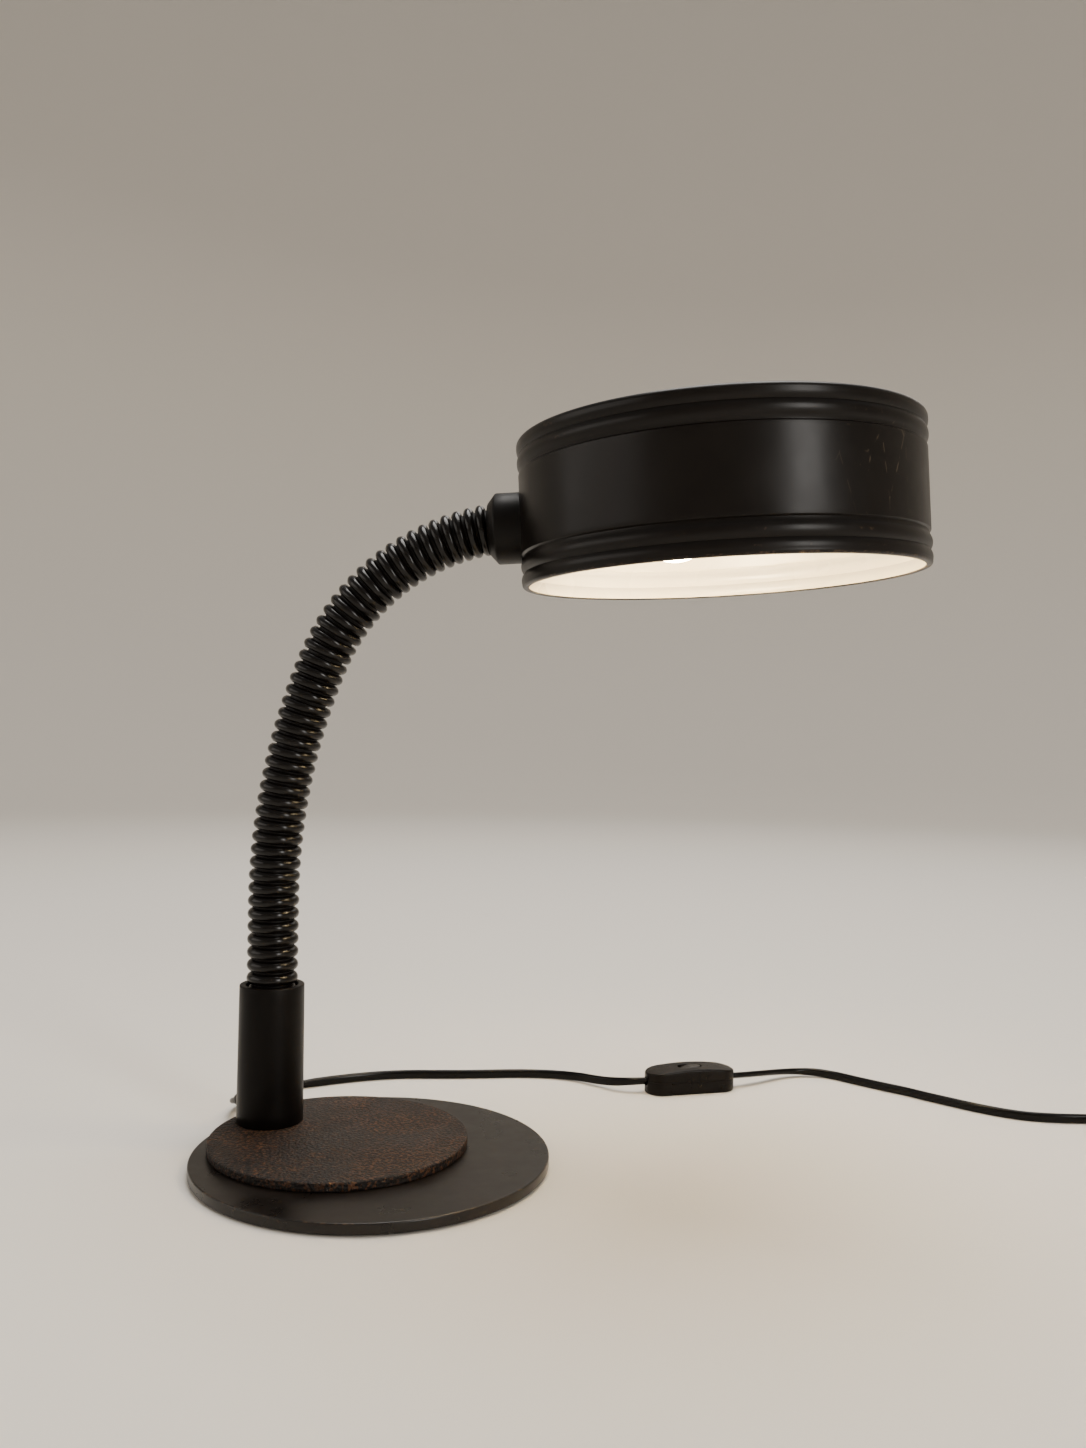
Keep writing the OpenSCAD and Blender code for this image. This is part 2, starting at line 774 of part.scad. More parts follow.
module bulb_cap() {
    color(BRASS) {
        along_head(cap_x) cylinder(d = cap_tip_d, h = cap_tip_l);
        along_head(cap_x + cap_tip_l) difference() {
            cylinder(d = cap_d, h = cap_l - cap_tip_l);
            translate([0, 0, cap_t]) cylinder(d = bulb_neck_d + 2 * running, h = cap_l);
        }
    }
}

module bulb_glass() {
    ball_x = bulb_end - bulb_d / 2;
    neck_x = cap_x + cap_tip_l + cap_t;
    color(GLASS) along_head() difference() {
        union() {
            translate([0, 0, ball_x]) sphere(d = bulb_d);
            translate([0, 0, neck_x]) cylinder(d = bulb_neck_d, h = ball_x - neck_x);
        }
        translate([0, 0, ball_x]) sphere(d = bulb_d - 2 * glass_t);
        translate([0, 0, neck_x - 1]) cylinder(d = bulb_neck_d - 2 * glass_t, h = ball_x - neck_x);
    }
}

// Two wires out of the nipple: one to the shell, one to the centre contact
module head_lead() {
    start = collar_l;
    outer = shell_d / 2 - shell_t;
    color([0.55, 0.35, 0.15]) at_head() {
        cord_along([[start, 0, 1.4], [nipple_end + 1, 0, 1.4], [holder_floor + 2, 0, 5],
            [shell_x - 3, 0, outer - 3], [shell_x - 1, 0, outer - 0.9],
            [shell_x, 0, outer - 0.9]], head_lead_d, head_lead_d, 8);
        cord_along([[start, 0, -1.4], [nipple_end + 1, 0, -1.4], [holder_floor + 2, 0, -2.4],
            [contact_x, 0, -2.4]], head_lead_d, head_lead_d, 8);
    }
}

// ---- Switch ----

// The space inside both shells at a distance inset from their outer faces
module switch_block(inset, low, high) {
    intersection() {
        translate([0, 0, low])
            rounded_plate(switch_l - 2 * inset, switch_w - 2 * inset, high - low,
                switch_round - inset);
        translate([0, switch_w, switch_h - arch_r]) rotate([90, 0, 0])
            cylinder(r = arch_r - inset, h = 2 * switch_w, $fn = 360);
    }
}

// A block with round ends
module pill(l, w, h) {
    translate([-(l - w) / 2, -w / 2, 0]) cube([l - w, w, h]);
    for (x = [-1, 1]) translate([x * (l - w) / 2, 0, 0]) cylinder(d = w, h = h);
}

module at_screws() {
    for (x = [-screw_x, screw_x]) translate([x, 0, 0]) children();
}

module cord_way() {
    translate([-switch_l, 0, cord_z]) rotate([0, 90, 0])
        cylinder(d = cord_w + 2 * running, h = 2 * switch_l);
}

module switch_base() {
    color(BLACK_PLASTIC) at_switch() difference() {
        rounded_plate(switch_l, switch_w, seam_h, switch_round);
        difference() {
            switch_block(switch_wall, switch_wall, switch_h);
            at_screws() cylinder(d = screw_post_d, h = switch_h);
        }
        cord_way();
        at_screws() {
            translate([0, 0, -1]) cylinder(d = shell_screw_d + 2 * running, h = switch_h);
            translate([0, 0, -1]) cylinder(d = screw_head_d + 2 * loose, h = screw_head_z + 1);
        }
    }
}

module switch_cover() {
    color(BLACK_PLASTIC) at_switch() difference() {
        switch_block(0, seam_h, switch_h);
        difference() {
            switch_block(switch_wall, seam_h - 1, switch_h);
            at_screws() cylinder(d = screw_post_d, h = switch_h);
            for (y = [-1, 1])
                translate([-ear_t, y * (window_w + ear_t) / 2 - ear_t / 2, pivot_z - ear_t])
                    cube([2 * ear_t, ear_t, switch_h]);
        }
        translate([0, 0, pivot_z]) pill(window_l, window_w, switch_h);
        translate([0, pivot_l / 2, pivot_z]) rotate([90, 0, 0])
            cylinder(d = pivot_d + 2 * running, h = pivot_l);
        cord_way();
        at_screws() cylinder(d = shell_screw_d + 2 * running, h = screw_top + running);
    }
}

// Two flats meet over the pivot, so that one end lies level and the other is down
module switch_rocker() {
    color([0.11, 0.08, 0.07]) at_switch() translate([0, 0, pivot_z])
        rotate([0, -rocker_tilt, 0]) {
            difference() {
                translate([0, 0, -rocker_h / 2])
                    pill(rocker_l, rocker_w, rocker_h / 2 + pivot_depth);
                for (side = [0, 180]) rotate([0, 0, side])
                    translate([0, -rocker_w, pivot_depth]) rotate([0, rocker_tilt, 0])
                        cube([rocker_l, 2 * rocker_w, rocker_h]);
            }
            translate([0, (pivot_l - loose) / 2, 0]) rotate([90, 0, 0])
                cylinder(d = pivot_d, h = pivot_l - loose);
        }
}

// One spring contact under each end of the rocker, with its terminal along the side
module switch_contacts() {
    contact_w = 2;
    near = rocker_l / 2 - 3;
    top = pivot_z - (rocker_h / 2 + (near + contact_w) * sin(rocker_tilt)) / cos(rocker_tilt)
        - loose;
    color(BRASS) at_switch() for (side = [0, 1]) mirror([side, 0, 0])
        translate([near, 0, switch_wall]) {
            translate([0, -1.5, 0]) cube([contact_w, 3, top - switch_wall]);
            translate([0, -1.5, 0]) cube([contact_w, 6.5, 1]);
            translate([0, 4, 0]) cube([screw_x - near, 3.2, 3]);
        }
}

module switch_screws() {
    color(STEEL) at_switch() at_screws() {
        translate([0, 0, screw_head_z - 1.4]) cylinder(d = screw_head_d, h = 1.4);
        translate([0, 0, screw_head_z]) cylinder(d = shell_screw_d, h = screw_top - screw_head_z);
    }
}

// ---- Cord ----

module cord_to_switch() {
    color(BLACK_PLASTIC) cord_along(TO_SWITCH, cord_w, cord_t, 10);
}

module cord_to_coil() {
    color(BLACK_PLASTIC) cord_along(TO_COIL, cord_w, cord_t, 10);
}

module cord_coil() {
    r = (coil_d - coil_columns * cord_w) / 2;
    color(BLACK_PLASTIC) translate(COIL_AT) rotate_extrude()
        translate([r, 0]) square([coil_columns * cord_w, coil_layers * cord_t]);
}

module cord_tie() {
    w = coil_columns * cord_w;
    h = coil_layers * cord_t;
    color(BLACK_PLASTIC) translate(COIL_AT) rotate([0, 0, TIE_TURN])
        translate([coil_d / 2, 0, 0]) difference() {
            translate([-w / 2 - tie_t, -tie_w / 2, 0]) cube([w + 2 * tie_t, tie_w, h + tie_t]);
            translate([-w / 2, -tie_w, tie_t]) cube([w, 2 * tie_w, h - tie_t]);
        }
}

module plug_body() {
    mid = plug_h / 2;
    color(BLACK_PLASTIC) at_plug() {
        translate([0, 0, mid]) rotate([0, 90, 0])
            cylinder(d1 = cord_w + 1.6, d2 = plug_h - 3, h = plug_relief_l);
        translate([plug_relief_l, 0, 0]) linear_extrude(plug_h)
            polygon([[0, -plug_tail_w / 2], [plug_l * 0.6, -plug_w / 2], [plug_l, -plug_w / 2],
                [plug_l, plug_w / 2], [plug_l * 0.6, plug_w / 2], [0, plug_tail_w / 2]]);
    }
}

module plug_pins() {
    color(BRASS) at_plug() for (y = [-1, 1])
        translate([plug_relief_l + plug_l, y * pin_spacing / 2, plug_h / 2]) rotate([0, 90, 0])
            cylinder(d = pin_d, h = pin_l);
}

// ---- The lamp ----

base_pad();
base_plate();
base_weight();
base_bolt();
stem();
stem_plug();
neck_clamp();
clamp_screw();
cord_relief();
stem_lead();
sleeve_foot();
for (i = [0:LINKS - 1]) {
    number = i < 9 ? str("0", i + 1) : str(i + 1);
    sleeve_link(i);
    hose_link(i);
}
sleeve_end();
hose_foot();
hose_end();
collar();
collar_nut();
shade();
lampholder();
holder_contacts();
bulb_cap();
bulb_glass();
head_lead();
switch_base();
switch_cover();
switch_rocker();
switch_contacts();
switch_screws();
cord_to_switch();
cord_to_coil();
cord_coil();
cord_tie();
plug_body();
plug_pins();
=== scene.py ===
"""Gooseneck desk lamp: camera, cords, pieces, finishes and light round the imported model.

Each sub-assembly is a class whose fields are its sizes in millimetres, as the solids have
them. Meshes are made in millimetres and scaled to metres when they become objects.
"""

import logging
import math
from dataclasses import dataclass, field
from enum import Enum
from typing import Callable

import bmesh
import bpy
from mathutils import Matrix, Vector, noise


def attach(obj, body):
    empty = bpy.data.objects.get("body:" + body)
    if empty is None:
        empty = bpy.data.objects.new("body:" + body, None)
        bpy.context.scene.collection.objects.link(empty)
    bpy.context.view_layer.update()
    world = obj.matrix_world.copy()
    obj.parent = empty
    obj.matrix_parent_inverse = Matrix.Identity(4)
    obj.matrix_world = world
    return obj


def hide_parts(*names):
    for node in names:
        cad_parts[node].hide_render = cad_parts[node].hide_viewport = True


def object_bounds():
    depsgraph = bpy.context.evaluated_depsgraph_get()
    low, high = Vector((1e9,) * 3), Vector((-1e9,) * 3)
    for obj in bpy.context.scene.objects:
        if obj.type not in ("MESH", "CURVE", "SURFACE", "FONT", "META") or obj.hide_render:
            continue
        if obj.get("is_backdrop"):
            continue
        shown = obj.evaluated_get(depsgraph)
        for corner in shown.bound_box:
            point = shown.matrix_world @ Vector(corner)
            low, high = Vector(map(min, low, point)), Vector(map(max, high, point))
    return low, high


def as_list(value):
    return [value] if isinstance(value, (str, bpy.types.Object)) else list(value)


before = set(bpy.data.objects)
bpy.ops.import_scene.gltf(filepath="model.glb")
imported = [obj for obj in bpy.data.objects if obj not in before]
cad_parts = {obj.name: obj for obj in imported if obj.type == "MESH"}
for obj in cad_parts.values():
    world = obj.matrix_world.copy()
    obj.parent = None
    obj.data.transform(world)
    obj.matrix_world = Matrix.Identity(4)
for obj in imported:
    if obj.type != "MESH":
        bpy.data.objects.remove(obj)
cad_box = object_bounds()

MM = 0.001
FRAME_WIDTH = 1086
log = logging.getLogger("lamp")

NO_RADIUS = 1e-6

Colour = tuple[float, float, float]
Route = tuple[tuple[float, float, float], ...]
Outline = list[tuple[float, float]]
Piece = bpy.types.Object
Socket = bpy.types.NodeSocket
Value = float | tuple[float, ...] | Socket
Layers = tuple[Socket, Socket, Socket]


def shift(x: float, y: float, z: float) -> Matrix:
    """Return a move by x, y and z."""
    return Matrix.Translation((x, y, z))


def turn(axis: str, degrees: float) -> Matrix:
    """Return a turn about one of the axes X, Y and Z."""
    return Matrix.Rotation(math.radians(degrees), 4, axis)


def smooth(share: float) -> float:
    """Return an even ramp from 0 to 1 as share goes from 0 to 1."""
    t = min(1.0, max(0.0, share))
    return t * t * (3 - 2 * t)


def ramp(x: float, start: float, run: float) -> float:
    """Return an even ramp from 0 at start to 1 after a run."""
    return smooth((x - start) / run)


# ---- Node trees ----


@dataclass
class Graph:
    """A node tree that is filled one node at a time."""

    tree: bpy.types.NodeTree

    def add(
        self, kind: str, inputs: dict[str | int, Value] | None = None, **settings: object
    ) -> bpy.types.Node:
        """Add a node.

        Args:
            kind: The node's type, without its ShaderNode prefix.
            inputs: What each input socket is given, a value or another node's socket.
            **settings: Properties of the node.

        Returns:
            The node.
        """
        node = self.tree.nodes.new(kind if kind.startswith("NodeGroup") else "ShaderNode" + kind)
        for name, value in settings.items():
            setattr(node, name, value)
        for name, value in (inputs or {}).items():
            if isinstance(value, Socket):
                self.tree.links.new(value, node.inputs[name])
            else:
                node.inputs[name].default_value = value
        return node

    def noise(self, place: Value, scale: Value, detail: float = 2.0) -> Socket:
        """Return the value of a noise texture, about 0.2 to 0.8."""
        node = self.add("TexNoise", {"Vector": place, "Scale": scale, "Detail": detail})
        return node.outputs[0]

    def math(self, operation: str, first: Value, second: Value = 0.5) -> Socket:
        """Return the result of one sum on two values."""
        return self.add("Math", {0: first, 1: second}, operation=operation).outputs[0]

    def times(self, first: Value, second: Value) -> Socket:
        """Return the product of two values."""
        return self.math("MULTIPLY", first, second)

    def join(self, value: Socket, node: bpy.types.Node, name: str) -> None:
        """Lead a value into a node's input."""
        self.tree.links.new(value, node.inputs[name])

    def ramp(self, value: Value, low: Value, high: Value) -> Socket:
        """Return value as a smooth step from 0 at low to 1 at high."""
        node = self.add(
            "MapRange",
            {"Value": value, "From Min": low, "From Max": high},
            interpolation_type="SMOOTHSTEP",
        )
        return node.outputs[0]

    def mix(self, share: Value, first: Value, second: Value) -> Socket:
        """Return a colour between two colours."""
        node = self.add("Mix", {0: share, 6: first, 7: second}, data_type="RGBA")
        return node.outputs[2]

    def group(self, tree: bpy.types.NodeTree, inputs: dict[str, Value]) -> bpy.types.Node:
        """Place a node group with its own values."""
        return self.add("Group", inputs, node_tree=tree)


def new_group(
    name: str, inputs: dict[str, float], outputs: tuple[str, ...]
) -> tuple[Graph, bpy.types.Node, bpy.types.Node]:
    """Make an empty node group.

    Args:
        name: What the group is called.
        inputs: Its input values and their defaults.
        outputs: Its output values.

    Returns:
        Its graph, its input node and its output node.
    """
    tree = bpy.data.node_groups.new(name, "ShaderNodeTree")
    for socket, default in inputs.items():
        made = tree.interface.new_socket(socket, in_out="INPUT", socket_type="NodeSocketFloat")
        made.default_value = default
    for socket in outputs:
        tree.interface.new_socket(socket, in_out="OUTPUT", socket_type="NodeSocketFloat")
    graph = Graph(tree)
    return graph, graph.add("NodeGroupInput"), graph.add("NodeGroupOutput")


@dataclass
class Effects:
    """The node groups that more than one finish uses, each built once."""

    grain: bpy.types.NodeTree = field(init=False)
    wear: bpy.types.NodeTree = field(init=False)
    dust: bpy.types.NodeTree = field(init=False)
    scuffs: bpy.types.NodeTree = field(init=False)
    patchy: tuple[float, float] = (0.3, 0.7)
    facing_up: tuple[float, float] = (0.55, 0.98)
    film: tuple[float, float] = (0.25, 0.75)
    specks: tuple[float, float] = (0.69, 0.74)
    broken: tuple[float, float] = (0.5, 0.6)
    chip_edge: float = 0.03
    rub_width: float = 0.28

    def __post_init__(self) -> None:
        """Build every group."""
        self.grain = self._grain()
        self.wear = self._wear()
        self.dust = self._dust()
        self.scuffs = self._scuffs()

    def _grain(self) -> bpy.types.NodeTree:
        """Build the fine relief and the slow unevenness of a surface."""
        graph, given, out = new_group(
            "surface_grain", {"Scale": 900.0, "Fineness": 4.0}, ("Height", "Patches")
        )
        place = graph.add("TexCoord").outputs["Object"]
        coarse = graph.noise(place, given.outputs["Scale"], 3.0)
        fine_scale = graph.times(given.outputs["Scale"], given.outputs["Fineness"])
        fine = graph.noise(place, fine_scale, 1.0)
        half = graph.times(fine, 0.35)
        patch_scale = graph.times(given.outputs["Scale"], 0.035)
        patches = graph.ramp(graph.noise(place, patch_scale, 4.0), *self.patchy)
        graph.join(graph.math("ADD", coarse, half), out, "Height")
        graph.join(patches, out, "Patches")
        return graph.tree

    def _wear(self) -> bpy.types.NodeTree:
        """Build chips and rubbed places along the edges that a mesh or a finish marks."""
        graph, given, out = new_group(
            "edge_wear", {"Edge": 0.0, "Scale": 260.0, "Amount": 0.5}, ("Chips", "Rub")
        )
        place = graph.add("TexCoord").outputs["Object"]
        spots = graph.noise(place, given.outputs["Scale"], 5.0)
        runs = graph.noise(place, graph.times(given.outputs["Scale"], 0.12), 2.0)
        together = graph.times(graph.math("ADD", spots, runs), given.outputs["Edge"])
        limit = graph.math("SUBTRACT", 1.5, given.outputs["Amount"])
        chips = graph.ramp(together, limit, graph.math("ADD", limit, self.chip_edge))
        rub = graph.ramp(together, graph.math("SUBTRACT", limit, self.rub_width), limit)
        graph.join(chips, out, "Chips")
        graph.join(rub, out, "Rub")
        return graph.tree

    def _dust(self) -> bpy.types.NodeTree:
        """Build the dust that lies on faces that look up."""
        graph, given, out = new_group(
            "settled_dust", {"Amount": 0.3, "Scale": 500.0}, ("Dust", "Specks")
        )
        coord = graph.add("TexCoord")
        up = graph.add("SeparateXYZ", {0: coord.outputs["Normal"]}).outputs["Z"]
        level = graph.ramp(up, *self.facing_up)
        place, scale = coord.outputs["Object"], given.outputs["Scale"]
        film = graph.noise(place, graph.times(scale, 0.05))
        cover = graph.times(level, graph.ramp(film, *self.film))
        specks = graph.ramp(graph.noise(place, graph.times(scale, 3.0)), *self.specks)
        amount = given.outputs["Amount"]
        graph.join(graph.times(cover, amount), out, "Dust")
        graph.join(graph.times(graph.times(specks, level), amount), out, "Specks")
        return graph.tree

    def _scuffs(self) -> bpy.types.NodeTree:
        """Build thin scratches in a round patch of the surface."""
        graph, given, out = new_group(
            "scuffs",
            {"X": 0.0, "Y": 0.0, "Z": 0.0, "Radius": 0.02, "Scale": 70.0, "Width": 0.02},
            ("Scratch",),
        )
        place = graph.add("TexCoord").outputs["Object"]
        middle = graph.add("CombineXYZ", {axis: given.outputs[axis] for axis in "XYZ"})
        away = graph.add(
            "VectorMath", {0: place, 1: middle.outputs[0]}, operation="DISTANCE"
        ).outputs["Value"]
        radius = given.outputs["Radius"]
        near = graph.ramp(away, radius, graph.times(radius, 0.3))
        lean = graph.add(
            "Mapping",
            {"Vector": place, "Rotation": (0.0, 0.55, 0.3), "Scale": (1.0, 1.0, 0.32)},
        )
        cells = graph.add(
            "TexVoronoi",
            {"Vector": lean.outputs[0], "Scale": given.outputs["Scale"]},
            feature="DISTANCE_TO_EDGE",
        ).outputs["Distance"]
        line = graph.ramp(cells, given.outputs["Width"], 0.0)
        broken = graph.ramp(graph.noise(place, 150.0, 2.0), *self.broken)
        mask = graph.times(graph.times(line, near), broken)
        graph.join(mask, out, "Scratch")
        return graph.tree


# ---- Finishes ----


@dataclass(frozen=True)
class Finish:
    """A finish: one base colour with grain, slow patches, dust and worn edges."""

    name: str
    colour: Colour
    second: Colour
    roughness: float = 0.4
    roughness_spread: float = 0.1
    grain: float = 900.0
    relief: float = 0.02
    metallic: float = 0.0
    coat: float = 0.0
    shine: float = 0.5
    dust: float = 0.0
    dust_colour: Colour = (0.075, 0.058, 0.044)
    wear: float = 0.0
    wear_scale: float = 260.0
    wear_colour: Colour = (0.30, 0.22, 0.15)
    mottle: float = 0.5

    def material(self, effects: Effects) -> bpy.types.Material:
        """Build the material.

        Args:
            effects: The shared node groups.

        Returns:
            The material.
        """
        made = bpy.data.materials.new(self.name)
        made.use_nodes = True
        made.node_tree.nodes.clear()
        graph = Graph(made.node_tree)
        grain = graph.group(effects.grain, {"Scale": self.grain})
        spread = graph.times(grain.outputs["Patches"], self.mottle)
        colour = graph.mix(spread, (*self.colour, 1.0), (*self.second, 1.0))
        rough = graph.add(
            "MapRange",
            {
                "Value": grain.outputs["Patches"],
                "To Min": self.roughness - self.roughness_spread / 2,
                "To Max": self.roughness + self.roughness_spread / 2,
            },
        ).outputs[0]
        height = grain.outputs["Height"]
        colour, rough, height = self.layers(graph, effects, (colour, rough, height))
        bump = graph.add(
            "Bump", {"Strength": 0.6, "Distance": self.relief * MM, "Height": height}
        )
        shader = graph.add(
            "BsdfPrincipled",
            {
                "Base Color": colour,
                "Roughness": rough,
                "Metallic": self.metallic,
                "Coat Weight": self.coat,
                "Coat Roughness": 0.12,
                "Specular IOR Level": self.shine,
                "Normal": bump.outputs[0],
            },
        )
        self.shade(graph, shader)
        end = graph.add("OutputMaterial")
        made.node_tree.links.new(shader.outputs[0], end.inputs["Surface"])
        return made

    def layers(self, graph: Graph, effects: Effects, base: Layers) -> Layers:
        """Lay worn edges and dust over the base.

        Args:
            graph: The material's graph.
            effects: The shared node groups.
            base: The colour, the roughness and the relief so far.

        Returns:
            The colour, the roughness and the relief with the layers.
        """
        colour, rough, height = base
        if self.wear > 0:
            edge = graph.add("Attribute", attribute_name="edge").outputs["Fac"]
            wear = graph.group(
                effects.wear,
                {"Edge": edge, "Scale": self.wear_scale, "Amount": self.wear},
            )
            rubbed = graph.times(wear.outputs["Rub"], 0.3)
            worn = graph.math("MAXIMUM", wear.outputs["Chips"], rubbed)
            colour = graph.mix(worn, colour, (*self.wear_colour, 1.0))
            chips = wear.outputs["Chips"]
            rough = graph.math("ADD", rough, graph.times(chips, 0.2))
            height = graph.math("SUBTRACT", height, graph.times(chips, 3.0))
        if self.dust > 0:
            dust = graph.group(effects.dust, {"Amount": self.dust})
            cover = graph.math("ADD", dust.outputs["Dust"], dust.outputs["Specks"])
            colour = graph.mix(cover, colour, (*self.dust_colour, 1.0))
            rough = graph.math("ADD", rough, graph.times(cover, 0.4))
        return colour, rough, height

    def shade(self, graph: Graph, shader: bpy.types.Node) -> None:
        """Change the shader further; the plain finish leaves it as it is."""


@dataclass(frozen=True)
class ShadeFinish(Finish):
    """Paint on the outside of the shade, with scratches in one place."""

    scratched: tuple[float, float, float] = (0.237, -0.050, 0.345)
    scratched_r: float = 0.034
    scratch_colour: Colour = (0.20, 0.15, 0.10)

    def layers(self, graph: Graph, effects: Effects, base: Layers) -> Layers:
        """Lay scratches over the worn and dusty paint."""
        colour, rough, height = super().layers(graph, effects, base)
        x, y, z = self.scratched
        lines = graph.group(effects.scuffs, {"X": x, "Y": y, "Z": z, "Radius": self.scratched_r})
        mark = graph.times(lines.outputs["Scratch"], 0.32)
        colour = graph.mix(mark, colour, (*self.scratch_colour, 1.0))
        return colour, rough, height


@dataclass(frozen=True)
class CastFinish(Finish):
    """Rough cast iron under thin paint, with rust that shows through in specks."""

    rust: Colour = (0.066, 0.027, 0.011)
    speck: Colour = (0.13, 0.10, 0.08)

    def layers(self, graph: Graph, effects: Effects, base: Layers) -> Layers:
        """Lay rust and pale specks over the casting."""
        colour, rough, height = base
        place = graph.add("TexCoord").outputs["Object"]
        bloom = graph.ramp(graph.noise(place, 38.0, 3.0), 0.42, 0.66)
        specks = graph.ramp(graph.noise(place, 560.0, 2.0), 0.52, 0.6)
        share = graph.times(specks, graph.math("ADD", bloom, 0.45))
        colour = graph.mix(share, colour, (*self.rust, 1.0))
        pale = graph.ramp(graph.noise(place, 720.0, 2.0), 0.69, 0.73)
        colour = graph.mix(graph.times(pale, 0.7), colour, (*self.speck, 1.0))
        pits = graph.add("TexVoronoi", {"Vector": place, "Scale": 620.0}).outputs["Distance"]
        height = graph.math("ADD", height, graph.times(pits, 1.3))
        return super().layers(graph, effects, (colour, rough, height))


@dataclass(frozen=True)
class RibFinish(Finish):
    """Glossy moulding whose grooves hold dust, marked by the mesh."""

    def layers(self, graph: Graph, effects: Effects, base: Layers) -> Layers:
        """Lay dust in the grooves."""
        colour, rough, height = base
        crest = graph.add("Attribute", attribute_name="edge").outputs["Fac"]
        groove = graph.math("SUBTRACT", 1.0, crest)
        share = graph.times(groove, 0.35)
        colour = graph.mix(share, colour, (*self.dust_colour, 1.0))
        rough = graph.math("ADD", rough, graph.times(groove, 0.35))
        return colour, rough, height


@dataclass(frozen=True)
class GlowFinish(Finish):
    """Frosted glass that is lit from inside."""

    strength: float = 80.0
    glow: Colour = (1.0, 0.78, 0.45)
    cloudy: Colour = (1.0, 0.70, 0.36)

    def shade(self, graph: Graph, shader: bpy.types.Node) -> None:
        """Let the glass glow, its colour a little cloudy."""
        place = graph.add("TexCoord").outputs["Object"]
        cloud = graph.noise(place, 60.0, 1.0)
        share = graph.times(cloud, 0.2)
        colour = graph.mix(share, (*self.glow, 1.0), (*self.cloudy, 1.0))
        graph.join(colour, shader, "Emission Color")
        shader.inputs["Emission Strength"].default_value = self.strength


class Paints(Enum):
    """Every finish on the lamp."""

    SHADE = ShadeFinish(
        "shade_paint", (0.0036, 0.0025, 0.0018), (0.0054, 0.0036, 0.0026), roughness=0.33,
        roughness_spread=0.08, grain=1100.0, relief=0.010, shine=0.18, dust=0.03, wear=0.20,
        wear_scale=420.0, wear_colour=(0.15, 0.095, 0.055),
    )
    PLATE = Finish(
        "plate_paint", (0.0038, 0.0025, 0.0018), (0.0070, 0.0043, 0.0029), roughness=0.31,
        roughness_spread=0.12, grain=1400.0, relief=0.012, shine=0.32, dust=0.06, wear=0.19,
        wear_scale=330.0, wear_colour=(0.13, 0.08, 0.045),
    )
    CAST = CastFinish(
        "cast_crinkle", (0.0036, 0.0024, 0.0017), (0.0082, 0.0047, 0.0031), roughness=0.58,
        roughness_spread=0.2, grain=700.0, relief=0.62, shine=0.26, dust=0.04, wear=0.27,
        wear_scale=600.0, wear_colour=(0.050, 0.028, 0.016),
    )
    STEM = Finish(
        "stem_black", (0.0028, 0.0021, 0.0017), (0.0042, 0.0031, 0.0024), roughness=0.36,
        roughness_spread=0.1, grain=1600.0, relief=0.014, shine=0.09, dust=0.02, wear=0.05,
        wear_colour=(0.08, 0.06, 0.045),
    )
    RIBS = RibFinish(
        "sleeve_gloss", (0.0026, 0.0020, 0.0016), (0.0040, 0.0029, 0.0022), roughness=0.20,
        roughness_spread=0.06, grain=1300.0, relief=0.008, shine=0.23,
        dust_colour=(0.007, 0.005, 0.004),
    )
    COLLAR = Finish(
        "collar_black", (0.0030, 0.0023, 0.0018), (0.0046, 0.0034, 0.0026), roughness=0.42,
        roughness_spread=0.1, grain=1500.0, relief=0.012, shine=0.14, dust=0.03, wear=0.05,
        wear_colour=(0.08, 0.06, 0.045),
    )
    ENAMEL = Finish(
        "shade_enamel", (0.86, 0.81, 0.71), (0.82, 0.75, 0.62), roughness=0.28,
        roughness_spread=0.1, grain=420.0, relief=0.02,
    )
    CORD = Finish(
        "cord_black", (0.0020, 0.0016, 0.0013), (0.0030, 0.0024, 0.0019), roughness=0.24,
        roughness_spread=0.06, grain=1500.0, relief=0.004, shine=0.15,
    )
    SWITCH = Finish(
        "switch_moulding", (0.0036, 0.0025, 0.0018), (0.0052, 0.0035, 0.0026), roughness=0.29,
        roughness_spread=0.10, grain=1700.0, relief=0.012, shine=0.11, dust=0.04, wear=0.10,
        wear_scale=700.0, wear_colour=(0.05, 0.035, 0.025),
    )
    ROCKER = Finish(
        "rocker_moulding", (0.0060, 0.0042, 0.0031), (0.0080, 0.0056, 0.0041), roughness=0.22,
        roughness_spread=0.06, grain=1500.0, relief=0.004, shine=0.50, dust=0.05,
    )
    BAKELITE = Finish(
        "holder_bakelite", (0.0210, 0.0105, 0.0070), (0.0330, 0.0150, 0.0085), roughness=0.25,
        roughness_spread=0.12, grain=500.0, relief=0.012,
    )
    BRASS = Finish(
        "brass", (0.72, 0.50, 0.22), (0.55, 0.36, 0.16), roughness=0.32, roughness_spread=0.16,
        grain=1200.0, relief=0.01, metallic=1.0,
    )
    STEEL = Finish(
        "zinc_steel", (0.52, 0.52, 0.50), (0.38, 0.38, 0.37), roughness=0.36,
        roughness_spread=0.16, grain=1300.0, relief=0.01, metallic=1.0,
    )
    FELT = Finish(
        "pad_felt", (0.022, 0.020, 0.018), (0.040, 0.036, 0.031), roughness=0.95,
        roughness_spread=0.05, grain=2600.0, relief=0.25,
    )
    LEAD = Finish(
        "lead_sleeving", (0.42, 0.24, 0.09), (0.33, 0.18, 0.07), roughness=0.6,
        roughness_spread=0.1, grain=2400.0, relief=0.05,
    )
    BULB = GlowFinish(
        "bulb_frost", (0.92, 0.88, 0.80), (0.95, 0.90, 0.82), roughness=0.35,
        roughness_spread=0.05, grain=900.0, relief=0.004,
    )


